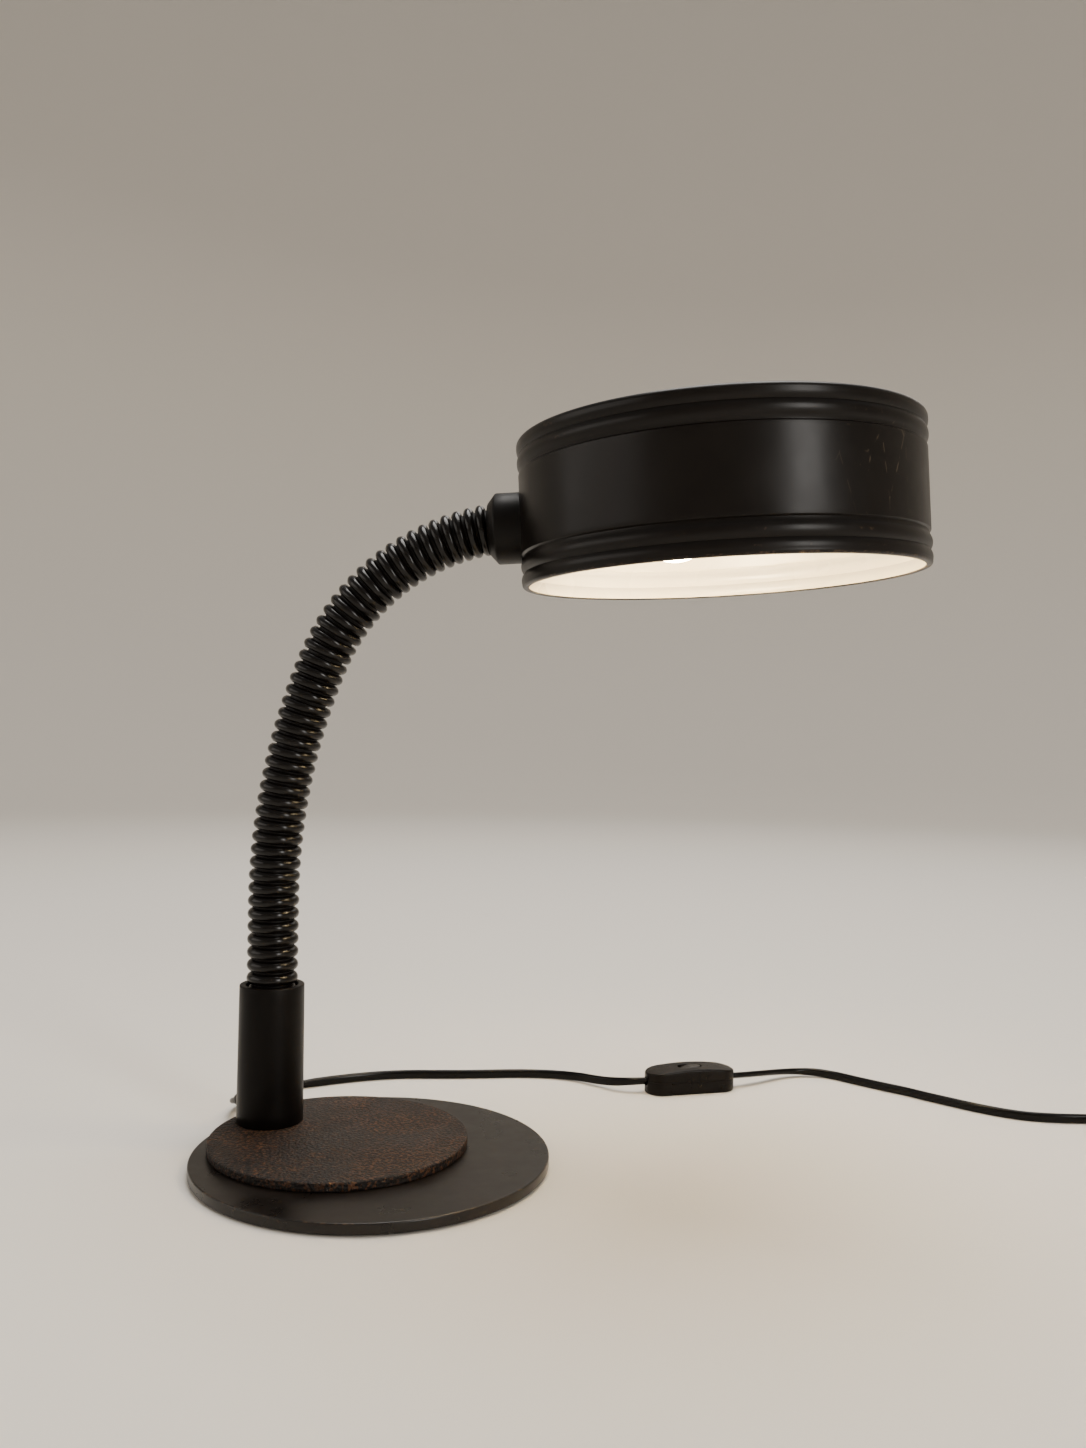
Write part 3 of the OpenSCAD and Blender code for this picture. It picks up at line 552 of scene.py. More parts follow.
@dataclass
class Workshop:
    """The finishes as materials, made when they are first asked for."""

    effects: Effects
    made: dict[Paints, bpy.types.Material] = field(default_factory=dict)

    def paint(self, finish: Paints) -> bpy.types.Material:
        """Return the material of a finish."""
        if finish not in self.made:
            self.made[finish] = finish.value.material(self.effects)
        return self.made[finish]

    def dress(self, finish: Paints, slot: str, *nodes: str) -> None:
        """Give the solids that stay in view a finish."""
        for name in nodes:
            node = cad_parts[name]
            node.data.materials.clear()
            node.data.materials.append(self.paint(finish))
            log.info("%s wears %s", name, finish.value.name)


# ---- Meshes ----


def circle(radius: float, height: float, sides: int, place: Matrix) -> list[Vector]:
    """Return a ring of points about the Z axis of a place."""
    angles = [math.tau * k / sides for k in range(sides)]
    return [place @ Vector((radius * math.cos(a), radius * math.sin(a), height)) for a in angles]


def lifted(flat: Outline, height: Callable[[float], float]) -> list[Vector]:
    """Return the points of a plan at heights that depend on their X."""
    return [Vector((x, y, height(x))) for x, y in flat]


def placed(rings: list[list[Vector]], place: Matrix) -> list[list[Vector]]:
    """Return rings of points moved to a place."""
    return [[place @ point for point in ring] for ring in rings]


@dataclass
class Shell:
    """Points in millimetres and faces, each with the number of its finish."""

    points: list[Vector] = field(default_factory=list)
    edges: list[float] = field(default_factory=list)
    faces: list[tuple[int, ...]] = field(default_factory=list)
    finishes: list[int] = field(default_factory=list)

    def stack(
        self,
        rings: list[list[Vector]],
        marks: list[float] | None = None,
        finishes: list[int] | None = None,
        closed: bool = False,
    ) -> "Shell":
        """Join rings of points into a skin; a ring of one point is a pole.

        Args:
            rings: The rings, of equal length or of one point; two such points share no face.
            marks: How much each ring is an edge that wears.
            finishes: The finish of the faces that follow each ring.
            closed: Whether the last ring joins the first.

        Returns:
            The shell.
        """
        starts = []
        for i, ring in enumerate(rings):
            starts.append(len(self.points))
            self.points += ring
            self.edges += [marks[i] if marks else 0.0] * len(ring)
        count = len(rings)
        for i in range(count if closed else count - 1):
            j = (i + 1) % count
            a, b = starts[i], starts[j]
            n, m = len(rings[i]), len(rings[j])
            number = finishes[i] if finishes else 0
            if n == m == 1:
                continue
            for k in range(max(n, m)):
                p, q = k, (k + 1) % max(n, m)
                if n == 1:
                    face = (a, b + q, b + p)
                elif m == 1:
                    face = (a + p, a + q, b)
                else:
                    face = (a + p, a + q, b + q, b + p)
                self.faces.append(face)
                self.finishes.append(number)
        return self

    def caps(self, rings: list[list[Vector]]) -> "Shell":
        """Close both ends of a stack that was just added with flat faces."""
        n = len(rings[0])
        end = len(self.points)
        start = end - sum(len(ring) for ring in rings)
        for first, order in ((start, -1), (end - n, 1)):
            self.faces.append(tuple(first + k for k in range(n))[::order])
            self.finishes.append(0)
        return self

    def lathe(
        self,
        outline: Outline,
        sides: int,
        place: Matrix | None = None,
        marks: list[float] | None = None,
        finishes: list[int] | None = None,
        closed: bool = False,
    ) -> "Shell":
        """Turn an outline of (radius, height) about Z.

        Args:
            outline: The outline's points.
            sides: How many sides the round has.
            place: Where the turned shape goes.
            marks: How much each point is an edge that wears.
            finishes: The finish of the band after each point.
            closed: Whether the outline closes on itself.

        Returns:
            The shell.
        """
        place = place or Matrix.Identity(4)
        rings = [
            circle(radius, height, 1 if radius < NO_RADIUS else sides, place)
            for radius, height in outline
        ]
        return self.stack(rings, marks, finishes, closed)

    def build(
        self, name: str, materials: list[bpy.types.Material], sharp: float = 40.0
    ) -> Piece:
        """Turn the shell into an object in metres.

        Args:
            name: The piece's name.
            materials: Its finishes, by number.
            sharp: The least angle of an edge that looks sharp, in degrees.

        Returns:
            The object.
        """
        mesh = bpy.data.meshes.new(name)
        mesh.from_pydata([p * MM for p in self.points], [], self.faces)
        for material in materials:
            mesh.materials.append(material)
        mesh.polygons.foreach_set("material_index", self.finishes)
        mark = mesh.attributes.new("edge", "FLOAT", "POINT")
        mark.data.foreach_set("value", self.edges)
        made = bmesh.new()
        made.from_mesh(mesh)
        bmesh.ops.recalc_face_normals(made, faces=made.faces)
        limit = math.radians(sharp)
        for face in made.faces:
            face.smooth = True
        for edge in made.edges:
            edge.smooth = not (len(edge.link_faces) == 2 and edge.calc_face_angle() > limit)
        made.to_mesh(mesh)
        made.free()
        piece = bpy.data.objects.new(name, mesh)
        bpy.context.scene.collection.objects.link(piece)
        return piece


def cut(piece: Piece, cutters: list[Piece]) -> None:
    """Cut shapes out of a piece and remove them.

    Args:
        piece: The piece.
        cutters: The shapes to take away.
    """
    for cutter in cutters:
        step = piece.modifiers.new("cut", "BOOLEAN")
        step.operation, step.solver, step.object = "DIFFERENCE", "EXACT", cutter
    bpy.context.view_layer.update()
    graph = bpy.context.evaluated_depsgraph_get()
    mesh = bpy.data.meshes.new_from_object(piece.evaluated_get(graph), depsgraph=graph)
    piece.modifiers.clear()
    piece.data = mesh
    for cutter in cutters:
        bpy.data.objects.remove(cutter)


def weld(piece: Piece, distance: float) -> None:
    """Join the points of a piece that lie closer together than a distance in millimetres."""
    made = bmesh.new()
    made.from_mesh(piece.data)
    bmesh.ops.remove_doubles(made, verts=made.verts, dist=distance * MM)
    made.to_mesh(piece.data)
    made.free()


def rod(radius: float, low: float, high: float, place: Matrix, sides: int = 48) -> Piece:
    """Return a plain round bar to cut a hole with."""
    outline = [(0, low), (radius, low), (radius, high), (0, high)]
    return Shell().lathe(outline, sides, place).build("cutter", [])


def keep(piece: Piece, body: str, slot: str, *nodes: str) -> Piece:
    """Let a piece ride on a body and stand for solids, which it hides.

    Args:
        piece: The piece.
        body: The body that it moves with.
        slot: Not used.
        *nodes: The solids that it replaces.

    Returns:
        The piece.
    """
    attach(piece, body)
    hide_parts(*nodes)
    return piece


def arc_points(
    x: float, y: float, radius: float, start: float, end: float, steps: int
) -> Outline:
    """Return points on an arc about (x, y), from one angle to another in degrees."""
    angles = [math.radians(start + (end - start) * i / steps) for i in range(steps + 1)]
    return [(x + radius * math.cos(a), y + radius * math.sin(a)) for a in angles]


def pill_ring(
    length: float, width: float, radius: float, corner: int, run: int = 0
) -> Outline:
    """Return points round a plate with round corners.

    Args:
        length: The plate's size along X.
        width: Its size along Y.
        radius: Its corner radius.
        corner: How many points each corner has.
        run: How many points lie between the corners on each side along X.

    Returns:
        The points, counter-clockwise from +X.
    """
    x, y = length / 2 - radius, width / 2 - radius
    ring = []
    for quarter, (sx, sy) in enumerate(((1, 1), (-1, 1), (-1, -1), (1, -1))):
        for k in range(corner):
            a = math.radians(90 * (quarter + (k + 0.5) / corner))
            ring.append((sx * x + radius * math.cos(a), sy * y + radius * math.sin(a)))
        if quarter % 2 == 0:
            for k in range(1, run + 1):
                ring.append((sx * x * (1 - 2 * k / (run + 1)), sy * (y + radius)))
    return ring


def along(points: list[Vector], step: float) -> list[tuple[Vector, float]]:
    """Return a smooth line through points, with a point about every step.

    Args:
        points: The points that the line goes through.
        step: The distance between the points of the line.

    Returns:
        The line's points, each with its place among the points given.
    """
    line = []
    for i in range(len(points) - 1):
        a = points[max(i - 1, 0)]
        b, c = points[i], points[i + 1]
        d = points[min(i + 2, len(points) - 1)]
        pieces = max(1, round((c - b).length / step))
        for k in range(pieces):
            t = k / pieces
            point = 0.5 * (
                2 * b
                + (c - a) * t
                + (2 * a - 5 * b + 4 * c - d) * t**2
                + (3 * b - a - 3 * c + d) * t**3
            )
            line.append((point, i + t))
    line.append((points[-1].copy(), len(points) - 1.0))
    return line


# ---- Places that several pieces share ----


@dataclass(frozen=True)
class Plan:
    """The lamp's main places and sizes."""

    plate_d: float = 180.0
    plate_t: float = 5.4
    pad_t: float = 0.8
    weight_d: float = 132.4
    weight_t: float = 4.8
    weight_margin: float = 3.2
    base_turn: float = 22.4
    stem_foot_d: float = 35.0
    stem_mouth_d: float = 34.0
    stem_h: float = 72.7
    stem_margin: float = 2.9
    stem_bore_d: float = 27.6
    head_rise: float = 3.4
    head_roll: float = 1.4
    collar_l: float = 16.8
    collar_height: float = 32.9
    shade_d: float = 208.4
    wall_step: float = 0.5

    @property
    def weight_z(self) -> float:
        """Height of the weight's underside."""
        return self.pad_t + self.plate_t

    @property
    def stem_z(self) -> float:
        """Height of the stem's foot."""
        return self.weight_z + self.weight_t

    @property
    def mouth_z(self) -> float:
        """Height of the stem's mouth."""
        return self.stem_z + self.stem_h

    @property
    def weight_shift(self) -> float:
        """Distance from the plate's middle to the weight's."""
        return (self.plate_d - self.weight_d) / 2 - self.weight_margin

    def _towards_stem(self, away: float, height: float) -> Matrix:
        """Return a place at a distance from the plate's middle, on the stem's side."""
        turned = math.radians(self.base_turn)
        return shift(-away * math.cos(turned), away * math.sin(turned), height)

    @property
    def weight(self) -> Matrix:
        """Place of the weight, with its underside on the plate."""
        return self._towards_stem(self.weight_shift, self.weight_z)

    @property
    def stem(self) -> Matrix:
        """Place of the stem's axis on the table."""
        reach = (self.weight_d - self.stem_foot_d) / 2 - self.stem_margin
        return self._towards_stem(self.weight_shift + reach, 0)

    @property
    def wall_r(self) -> float:
        """Radius of the shade's wall between its beads."""
        return self.shade_d / 2 - self.wall_step

    @property
    def shade_axis(self) -> float:
        """Distance from the collar's end face to the shade's axis."""
        return self.collar_l + self.wall_r


@dataclass(frozen=True)
class NeckLine:
    """The line that the neck stands in, by its ribs and its bends."""

    foot_pitch: float = 6.9
    head_pitch: float = 5.85
    foot_ribs: int = 4
    hidden_ribs: int = 3
    end_ribs: int = 3
    link_ribs: tuple[int, ...] = (5, 5, 5, 4, 4, 2, 2, 2, 2, 2, 2, 2, 2)
    bends: tuple[tuple[float, float], ...] = ((45, 0), (130, 22), (74, 37), (48, 22.5))

    @property
    def rib_count(self) -> int:
        """Number of ribs above the stem."""
        return self.foot_ribs + sum(self.link_ribs) + self.end_ribs

    @property
    def pitch_change(self) -> float:
        """Change of pitch from one rib to the next."""
        return (self.head_pitch - self.foot_pitch) / (self.rib_count - 1)

    def pitch(self, rib: float) -> float:
        """Return the room that a rib takes."""
        return self.foot_pitch + self.pitch_change * rib

    def arc(self, rib: float) -> float:
        """Return the length of neck below a rib."""
        return rib * self.foot_pitch + self.pitch_change * rib * (rib - 1) / 2

    def first_rib(self, link: int) -> int:
        """Return the number of a link's first rib."""
        return self.foot_ribs + sum(self.link_ribs[:link])

    def heading(self, length: float) -> float:
        """Return the lean of the neck at a length above the stem, in degrees."""
        lean = 0.0
        for run, angle in self.bends:
            if length <= 0:
                break
            lean += angle * min(length, run) / run
            length -= run
        return lean

    def at(self, length: float) -> tuple[float, float]:
        """Return the distance from the stem's axis and the height above its mouth."""
        if length <= 0:
            return 0.0, length
        steps = max(1, math.ceil(length / 2))
        out = up = 0.0
        for i in range(steps):
            lean = math.radians(self.heading(length * (i + 0.5) / steps))
            out += math.sin(lean) * length / steps
            up += math.cos(lean) * length / steps
        return out, up

    @property
    def head(self) -> tuple[float, float]:
        """The neck's end, as the straight links between the bends put it."""
        cuts = [self.arc(self.first_rib(i)) for i in range(len(self.link_ribs) + 1)]
        cuts.append(self.arc(self.rib_count))
        out, up = 0.0, cuts[0]
        for low, high in zip(cuts, cuts[1:]):
            lean = math.radians(self.heading((low + high) / 2))
            out += math.sin(lean) * (high - low)
            up += math.cos(lean) * (high - low)
        return out, up


@dataclass(frozen=True)
class Flex:
    """The flat cord, its coil and its plug, as the cords, the tie and the plug need them."""

    width: float = 5.4
    thickness: float = 3.4
    coil_at: tuple[float, float] = (432.0, 84.0)
    coil_d: float = 62.0
    columns: int = 3
    plug_at: tuple[float, float] = (468.4, 74.0)
    plug_h: float = 13.6


PLAN = Plan()
NECK = NeckLine()
FLEX = Flex()


def head_place() -> Matrix:
    """Return the place of the collar's end face, with +X along the head."""
    out, up = NECK.head
    level = PLAN.stem @ shift(out, 0, PLAN.mouth_z + up)
    return level @ turn("Y", -PLAN.head_rise) @ turn("X", PLAN.head_roll)


def head_line(x: float = 0.0) -> Matrix:
    """Return the same place a distance along the head, with +Z along it."""
    return head_place() @ shift(x, 0, 0) @ turn("Y", 90)


def shade_place() -> Matrix:
    """Return the middle of the shade's rim, with +Z along the shade's axis."""
    return head_place() @ shift(PLAN.shade_axis, 0, -PLAN.collar_height)


# ---- Camera ----


@dataclass(frozen=True)
class Viewpoint:
    """The camera, in front of the lamp and a little below the shade."""

    place: tuple[float, float, float] = (135.885, -598.528, 220.186)
    right: tuple[float, float, float] = (0.996058, 0.087024, 0.017182)
    up: tuple[float, float, float] = (-0.016512, -0.008411, 0.999828)
    focal_px: float = 1194.55
    sensor: float = 36.0

    def build(self) -> Piece:
        """Make the scene's camera and return it."""
        data = bpy.data.cameras.new("camera")
        data.sensor_fit = "HORIZONTAL"
        data.sensor_width = self.sensor
        data.lens = self.sensor * self.focal_px / FRAME_WIDTH
        camera = bpy.data.objects.new("camera", data)
        bpy.context.scene.collection.objects.link(camera)
        right, up = Vector(self.right).normalized(), Vector(self.up)
        up = (up - right * up.dot(right)).normalized()
        back = right.cross(up)
        matrix = Matrix((right, up, back)).transposed().to_4x4()
        matrix.translation = Vector(self.place) * MM
        camera.matrix_world = matrix
        bpy.context.scene.camera = camera
        return camera


# ---- Cords ----


@dataclass
class CordLine:
    """A flat two-core cord: a line of points with the roll of the cord at each."""

    points: list[Vector]
    rolls: list[float]
    step: float = 2.0
    sides: int = 20
    flatness: float = 2.4
    groove: float = 0.1
    groove_w: float = 0.22

    def section(self) -> Outline:
        """Return the cord's oval section, with a shallow groove between its cores."""
        ring = []
        for k in range(self.sides):
            a = math.tau * (k + 0.5) / self.sides
            x = (FLEX.width - FLEX.thickness) / 2 * math.tanh(self.flatness * math.cos(a))
            y = FLEX.thickness / 2 * math.sin(a)
            dip = self.groove * math.exp(-((math.cos(a) / self.groove_w) ** 2))
            dip *= math.copysign(1, math.sin(a))
            ring.append((x + FLEX.thickness / 2 * math.cos(a), y - dip))
        return ring

    def build(self, name: str, material: bpy.types.Material) -> Piece:
        """Sweep the section along the line.

        Args:
            name: The piece's name.
            material: Its finish.

        Returns:
            The cord.
        """
        line = along(self.points, self.step)
        profile = self.section()
        rings = []
        for i, (point, at) in enumerate(line):
            ahead = line[min(i + 1, len(line) - 1)][0] - line[max(i - 1, 0)][0]
            across = ahead.cross(Vector((0, 0, 1))).normalized()
            above = across.cross(ahead).normalized()
            low = min(int(at), len(self.rolls) - 2)
            mixed = self.rolls[low] + (self.rolls[low + 1] - self.rolls[low]) * (at - low)
            roll = math.radians(mixed)
            c, s = math.cos(roll), math.sin(roll)
            rings.append(
                [point + across * (x * c - y * s) + above * (x * s + y * c) for x, y in profile]
            )
        return Shell().stack(rings).caps(rings).build(name, [material], 60)

    @property
    def length(self) -> float:
        """Length of the line in metres."""
        return sum((b - a).length for a, b in zip(self.points, self.points[1:])) * MM


@dataclass
class Cords:
    """The cord from the lamp to its switch and from there to the plug."""

    to_switch: Route = (
        (-87, 52.8, 12.6), (-89, 55, 11.8), (-93.6, 62, 8.8), (-95.8, 72, 5.4), (-95, 83, 3),
        (-91.4, 94, 2.0), (-85, 105, 1.8), (-75.5, 114.5, 1.8), (-63.5, 122.5, 1.8),
        (-51, 130.8, 1.8), (-38, 138, 1.8), (-24, 144, 1.8), (-9, 148, 1.8), (6, 150.2, 1.8),
        (22, 152.6, 1.8), (38, 155.8, 1.8), (54, 159, 1.8), (70, 160.8, 1.8), (84, 160, 1.9),
        (97, 155.6, 2.4), (108, 148.6, 3.8), (118.5, 141.8, 5.4), (129, 138.8, 6.8),
        (141, 140.8, 7.2),
    )
    to_coil: Route = (
        (189.6, 158.2, 7.2), (199, 162.4, 7), (211, 171, 6), (223, 181, 4.6), (235, 187.8, 3.2),
        (248, 189, 2.2), (260, 184.4, 1.8), (272, 175, 1.8), (285, 165.4, 1.8),
        (298, 156.4, 1.8), (310, 146.4, 1.8), (321.5, 137.6, 1.8), (333, 129.2, 1.8),
        (345, 122, 1.8), (358, 117, 1.8), (373, 115.6, 1.8), (388, 116.4, 1.8),
        (404, 118.6, 1.8), (418, 120.1, 1.8), (432, 120.4, 1.8),
    )
    relief_tip: tuple[float, float, float] = (-88.7, 54.6, 11.8)
    coil_step: int = 15
    coil_points: int = 125
    step_run: float = 60.0
    inward_at: float = 300.0
    climb_at: float = 235.0
    outward_at: float = 170.0
    lift: float = 0.05
    lamp_rolls: tuple[float, float] = (90, 50)
    lamp_edge: tuple[float, float] = (-88, 30)
    lamp_ease: tuple[float, float] = (112, 28)
    mains_rolls: tuple[float, float] = (30, 60)
    mains_edge: tuple[float, float] = (226, 36)
    mains_ease: tuple[float, float] = (388, 36)
    table_z: float = 2.2
    table_run: float = 2.4

    def coil(self) -> list[Vector]:
        """Return the coil's line: inwards on the table, then outwards on top of itself.

        Every turn steps to the next column over the same short stretch, so that the turns lie
        beside each other all the way round.
        """
        outer = FLEX.coil_d / 2 + FLEX.width * (FLEX.columns - 1) / 2
        half = FLEX.thickness / 2
        points = []
        for i in range(1, self.coil_points + 1):
            angle = i * self.coil_step
            lap, rest = divmod(angle, 360)
            if lap < FLEX.columns:
                last = lap == FLEX.columns - 1
                stepped = 0 if last else smooth((rest - self.inward_at) / self.step_run)
                radius = outer - FLEX.width * (lap + stepped)
                height = half
                if last:
                    height += FLEX.thickness * smooth((rest - self.climb_at) / self.step_run)
            else:
                radius = outer - FLEX.width * (2 * FLEX.columns - 1 - lap)
                radius += FLEX.width * smooth((rest - self.outward_at) / self.step_run)
                height = half + FLEX.thickness
            around = math.radians(90 - angle)
            points.append(
                Vector((
                    FLEX.coil_at[0] + radius * math.cos(around),
                    FLEX.coil_at[1] + radius * math.sin(around),
                    height + self.lift,
                ))
            )
        return points

    def _rolled(
        self, route: Route, roll: Callable[[float], float]
    ) -> CordLine:
        """Return a line with the cord rolled on edge, and lifted where it lies on the table.

        Args:
            route: The points of the flat cord.
            roll: Gives the roll in degrees from a point's X.

        Returns:
            The line.
        """
        rolls = [roll(x) for x, _, _ in route]
        points = []
        for (x, y, z), angle in zip(route, rolls):
            on_table = 1 - smooth((z - self.table_z) / self.table_run)
            rise = (FLEX.width - FLEX.thickness) / 2 * abs(math.sin(math.radians(angle)))
            points.append(Vector((x, y, z + rise * on_table)))
        return CordLine(points, rolls)

    def _lamp_roll(self, x: float) -> float:
        """Return the lamp cord's roll: on edge from the base on, less so at the switch."""
        on_edge, eased = self.lamp_rolls
        return on_edge * ramp(x, *self.lamp_edge) - eased * ramp(x, *self.lamp_ease)

    def _mains_roll(self, x: float) -> float:
        """Return the mains cord's roll: on edge from the switch on, flat in the coil."""
        start, more = self.mains_rolls
        return (start + more * ramp(x, *self.mains_edge)) * (1 - ramp(x, *self.mains_ease))

    def build(self, shop: Workshop) -> list[Piece]:
        """Make both cords and return them."""
        material = shop.paint(Paints.CORD)
        first = self._rolled(self.to_switch, self._lamp_roll)
        second = self._rolled(self.to_coil, self._mains_roll)
        plug = Vector((*FLEX.plug_at, FLEX.plug_h / 2))
        second.points += self.coil()
        second.points += [plug + Vector((0, 4, -0.6)), plug + Vector((0, -6, 0))]
        second.rolls += [0.0] * (len(second.points) - len(second.rolls))
        lamp_cord = first.build("lamp_cord", material)
        mains_cord = second.build("mains_cord", material)
        keep(lamp_cord, "base", "cord_black", "cord_to_switch")
        keep(mains_cord, "base", "cord_black", "cord_to_coil", "cord_coil")
        self.lines = (first, second)
        log.info("cords of %.3f m and %.3f m", first.length, second.length)
        return [lamp_cord, mains_cord]

    def declare(
        self,
        cords: list[Piece],
        switch: list[Piece],
        plug: list[Piece],
    ) -> None:
        """Work out how long the cords are and what is on them, and keep none of it.

        Args:
            cords: Not used.
            switch: The pieces of the switch.
            plug: The plug, its pins and the tie.
        """
        first, second = self.lines
        tuple(v * MM for v in self.relief_tip)
        first.length
        [tuple(p * MM) for p in first.points]
        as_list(switch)
        tuple(v * MM for v in self.to_coil[0])
        second.length
        [tuple(p * MM) for p in second.points]
        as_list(plug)


# ---- Base ----


@dataclass
class Base:
    """The felt pad, the plate, the cast weight and the bolt that holds them."""

    plate_round: float = 0.8
    bolt_hole_d: float = 8.6
    pocket_d: float = 20.6
    pocket_h: float = 3.9
    rim_round: float = 0.9
    rings: int = 60
    plate_rings: tuple[float, ...] = (0.4, 2, 6, 14, 30, 50, 70)
    sides: int = 360
    lumps: float = 0.07
    rim_lumps: float = 0.22
    lump_scale: float = 0.35
    pit_scale: float = 0.9

    def build(self, shop: Workshop) -> list[Piece]:
        """Make the plate and the weight, and dress the solids that stay."""
        shop.dress(Paints.FELT, "felt", "base_pad")
        shop.dress(Paints.STEEL, "steel", "base_bolt")
        return [self._plate(shop), self._weight(shop)]

    def _plate(self, shop: Workshop) -> Piece:
        """Make the plate with its round rims and the way for the bolt."""
        radius, low, high, ease = PLAN.plate_d / 2, PLAN.pad_t, PLAN.weight_z, self.plate_round
        outline = [(0.0, low), (radius - 9, low), (radius - ease, low)]
        outline += arc_points(radius - ease, low + ease, ease, -75, 0, 5)
        outline += arc_points(radius - ease, high - ease, ease, 0, 90, 10)
        outline += [(radius - ease - inward, high) for inward in self.plate_rings]
        outline.append((0.0, high))
        marks = []
        for r, z in outline:
            to_rim = min(z - low, high - z)
            marks.append(smooth((r - radius + 1.3) / 0.5) * (1 - smooth((to_rim - 0.5) / 0.5)))
        turned = Shell().lathe(outline, self.sides, marks=marks)
        plate = turned.build("plate_disc", [shop.paint(Paints.PLATE)], 50)
        cut(plate, [
            rod(self.bolt_hole_d / 2, -1, high + 1, PLAN.stem),
            rod(self.pocket_d / 2, -1, self.pocket_h, PLAN.stem),
        ])
        return keep(plate, "base", "black_paint", "base_plate")

    def _weight(self, shop: Workshop) -> Piece:
        """Make the weight with the lumps of its casting."""
        radius, high = PLAN.weight_d / 2, PLAN.weight_t
        inner, edge = radius - self.rim_round, self.rim_round
        outline = [(0.0, 0.0), (inner, 0.0)]
        outline += arc_points(inner, edge, edge, -80, 0, 4)
        outline += [(radius, high * 0.4), (radius, high * 0.6)]
        outline += arc_points(inner, high - edge, edge, 0, 90, 6)
        outline += [(inner * (1 - (i + 1) / self.rings), high) for i in range(self.rings)]
        marks = [
            smooth((r - inner + 0.5) / 1.2) * smooth((z - high + 1.6) / 1.2) for r, z in outline
        ]
        shell = Shell().lathe(outline, self.sides, marks=marks)
        for point in shell.points:
            self._roughen(point, radius, high)
        shell.points = [PLAN.weight @ p for p in shell.points]
        weight = shell.build("weight", [shop.paint(Paints.CAST)], 60)
        return keep(weight, "base", "cast_disc", "base_weight")

    def _roughen(self, point: Vector, radius: float, high: float) -> None:
        """Move a point of the weight's skin by the lumps of the casting."""
        lump = noise.noise(point * self.lump_scale) + 0.6 * noise.noise(point * self.pit_scale)
        out = math.hypot(point.x, point.y)
        if point.z > high - 0.2:
            point.z -= self.lumps * (0.6 + 0.5 * abs(lump))
        elif point.z < 0.2:
            return
        if out > radius - 1.2:
            inward = 1 - self.rim_lumps * (0.5 + 0.5 * lump) / radius
            point.x *= inward
            point.y *= inward


# ---- Stem ----


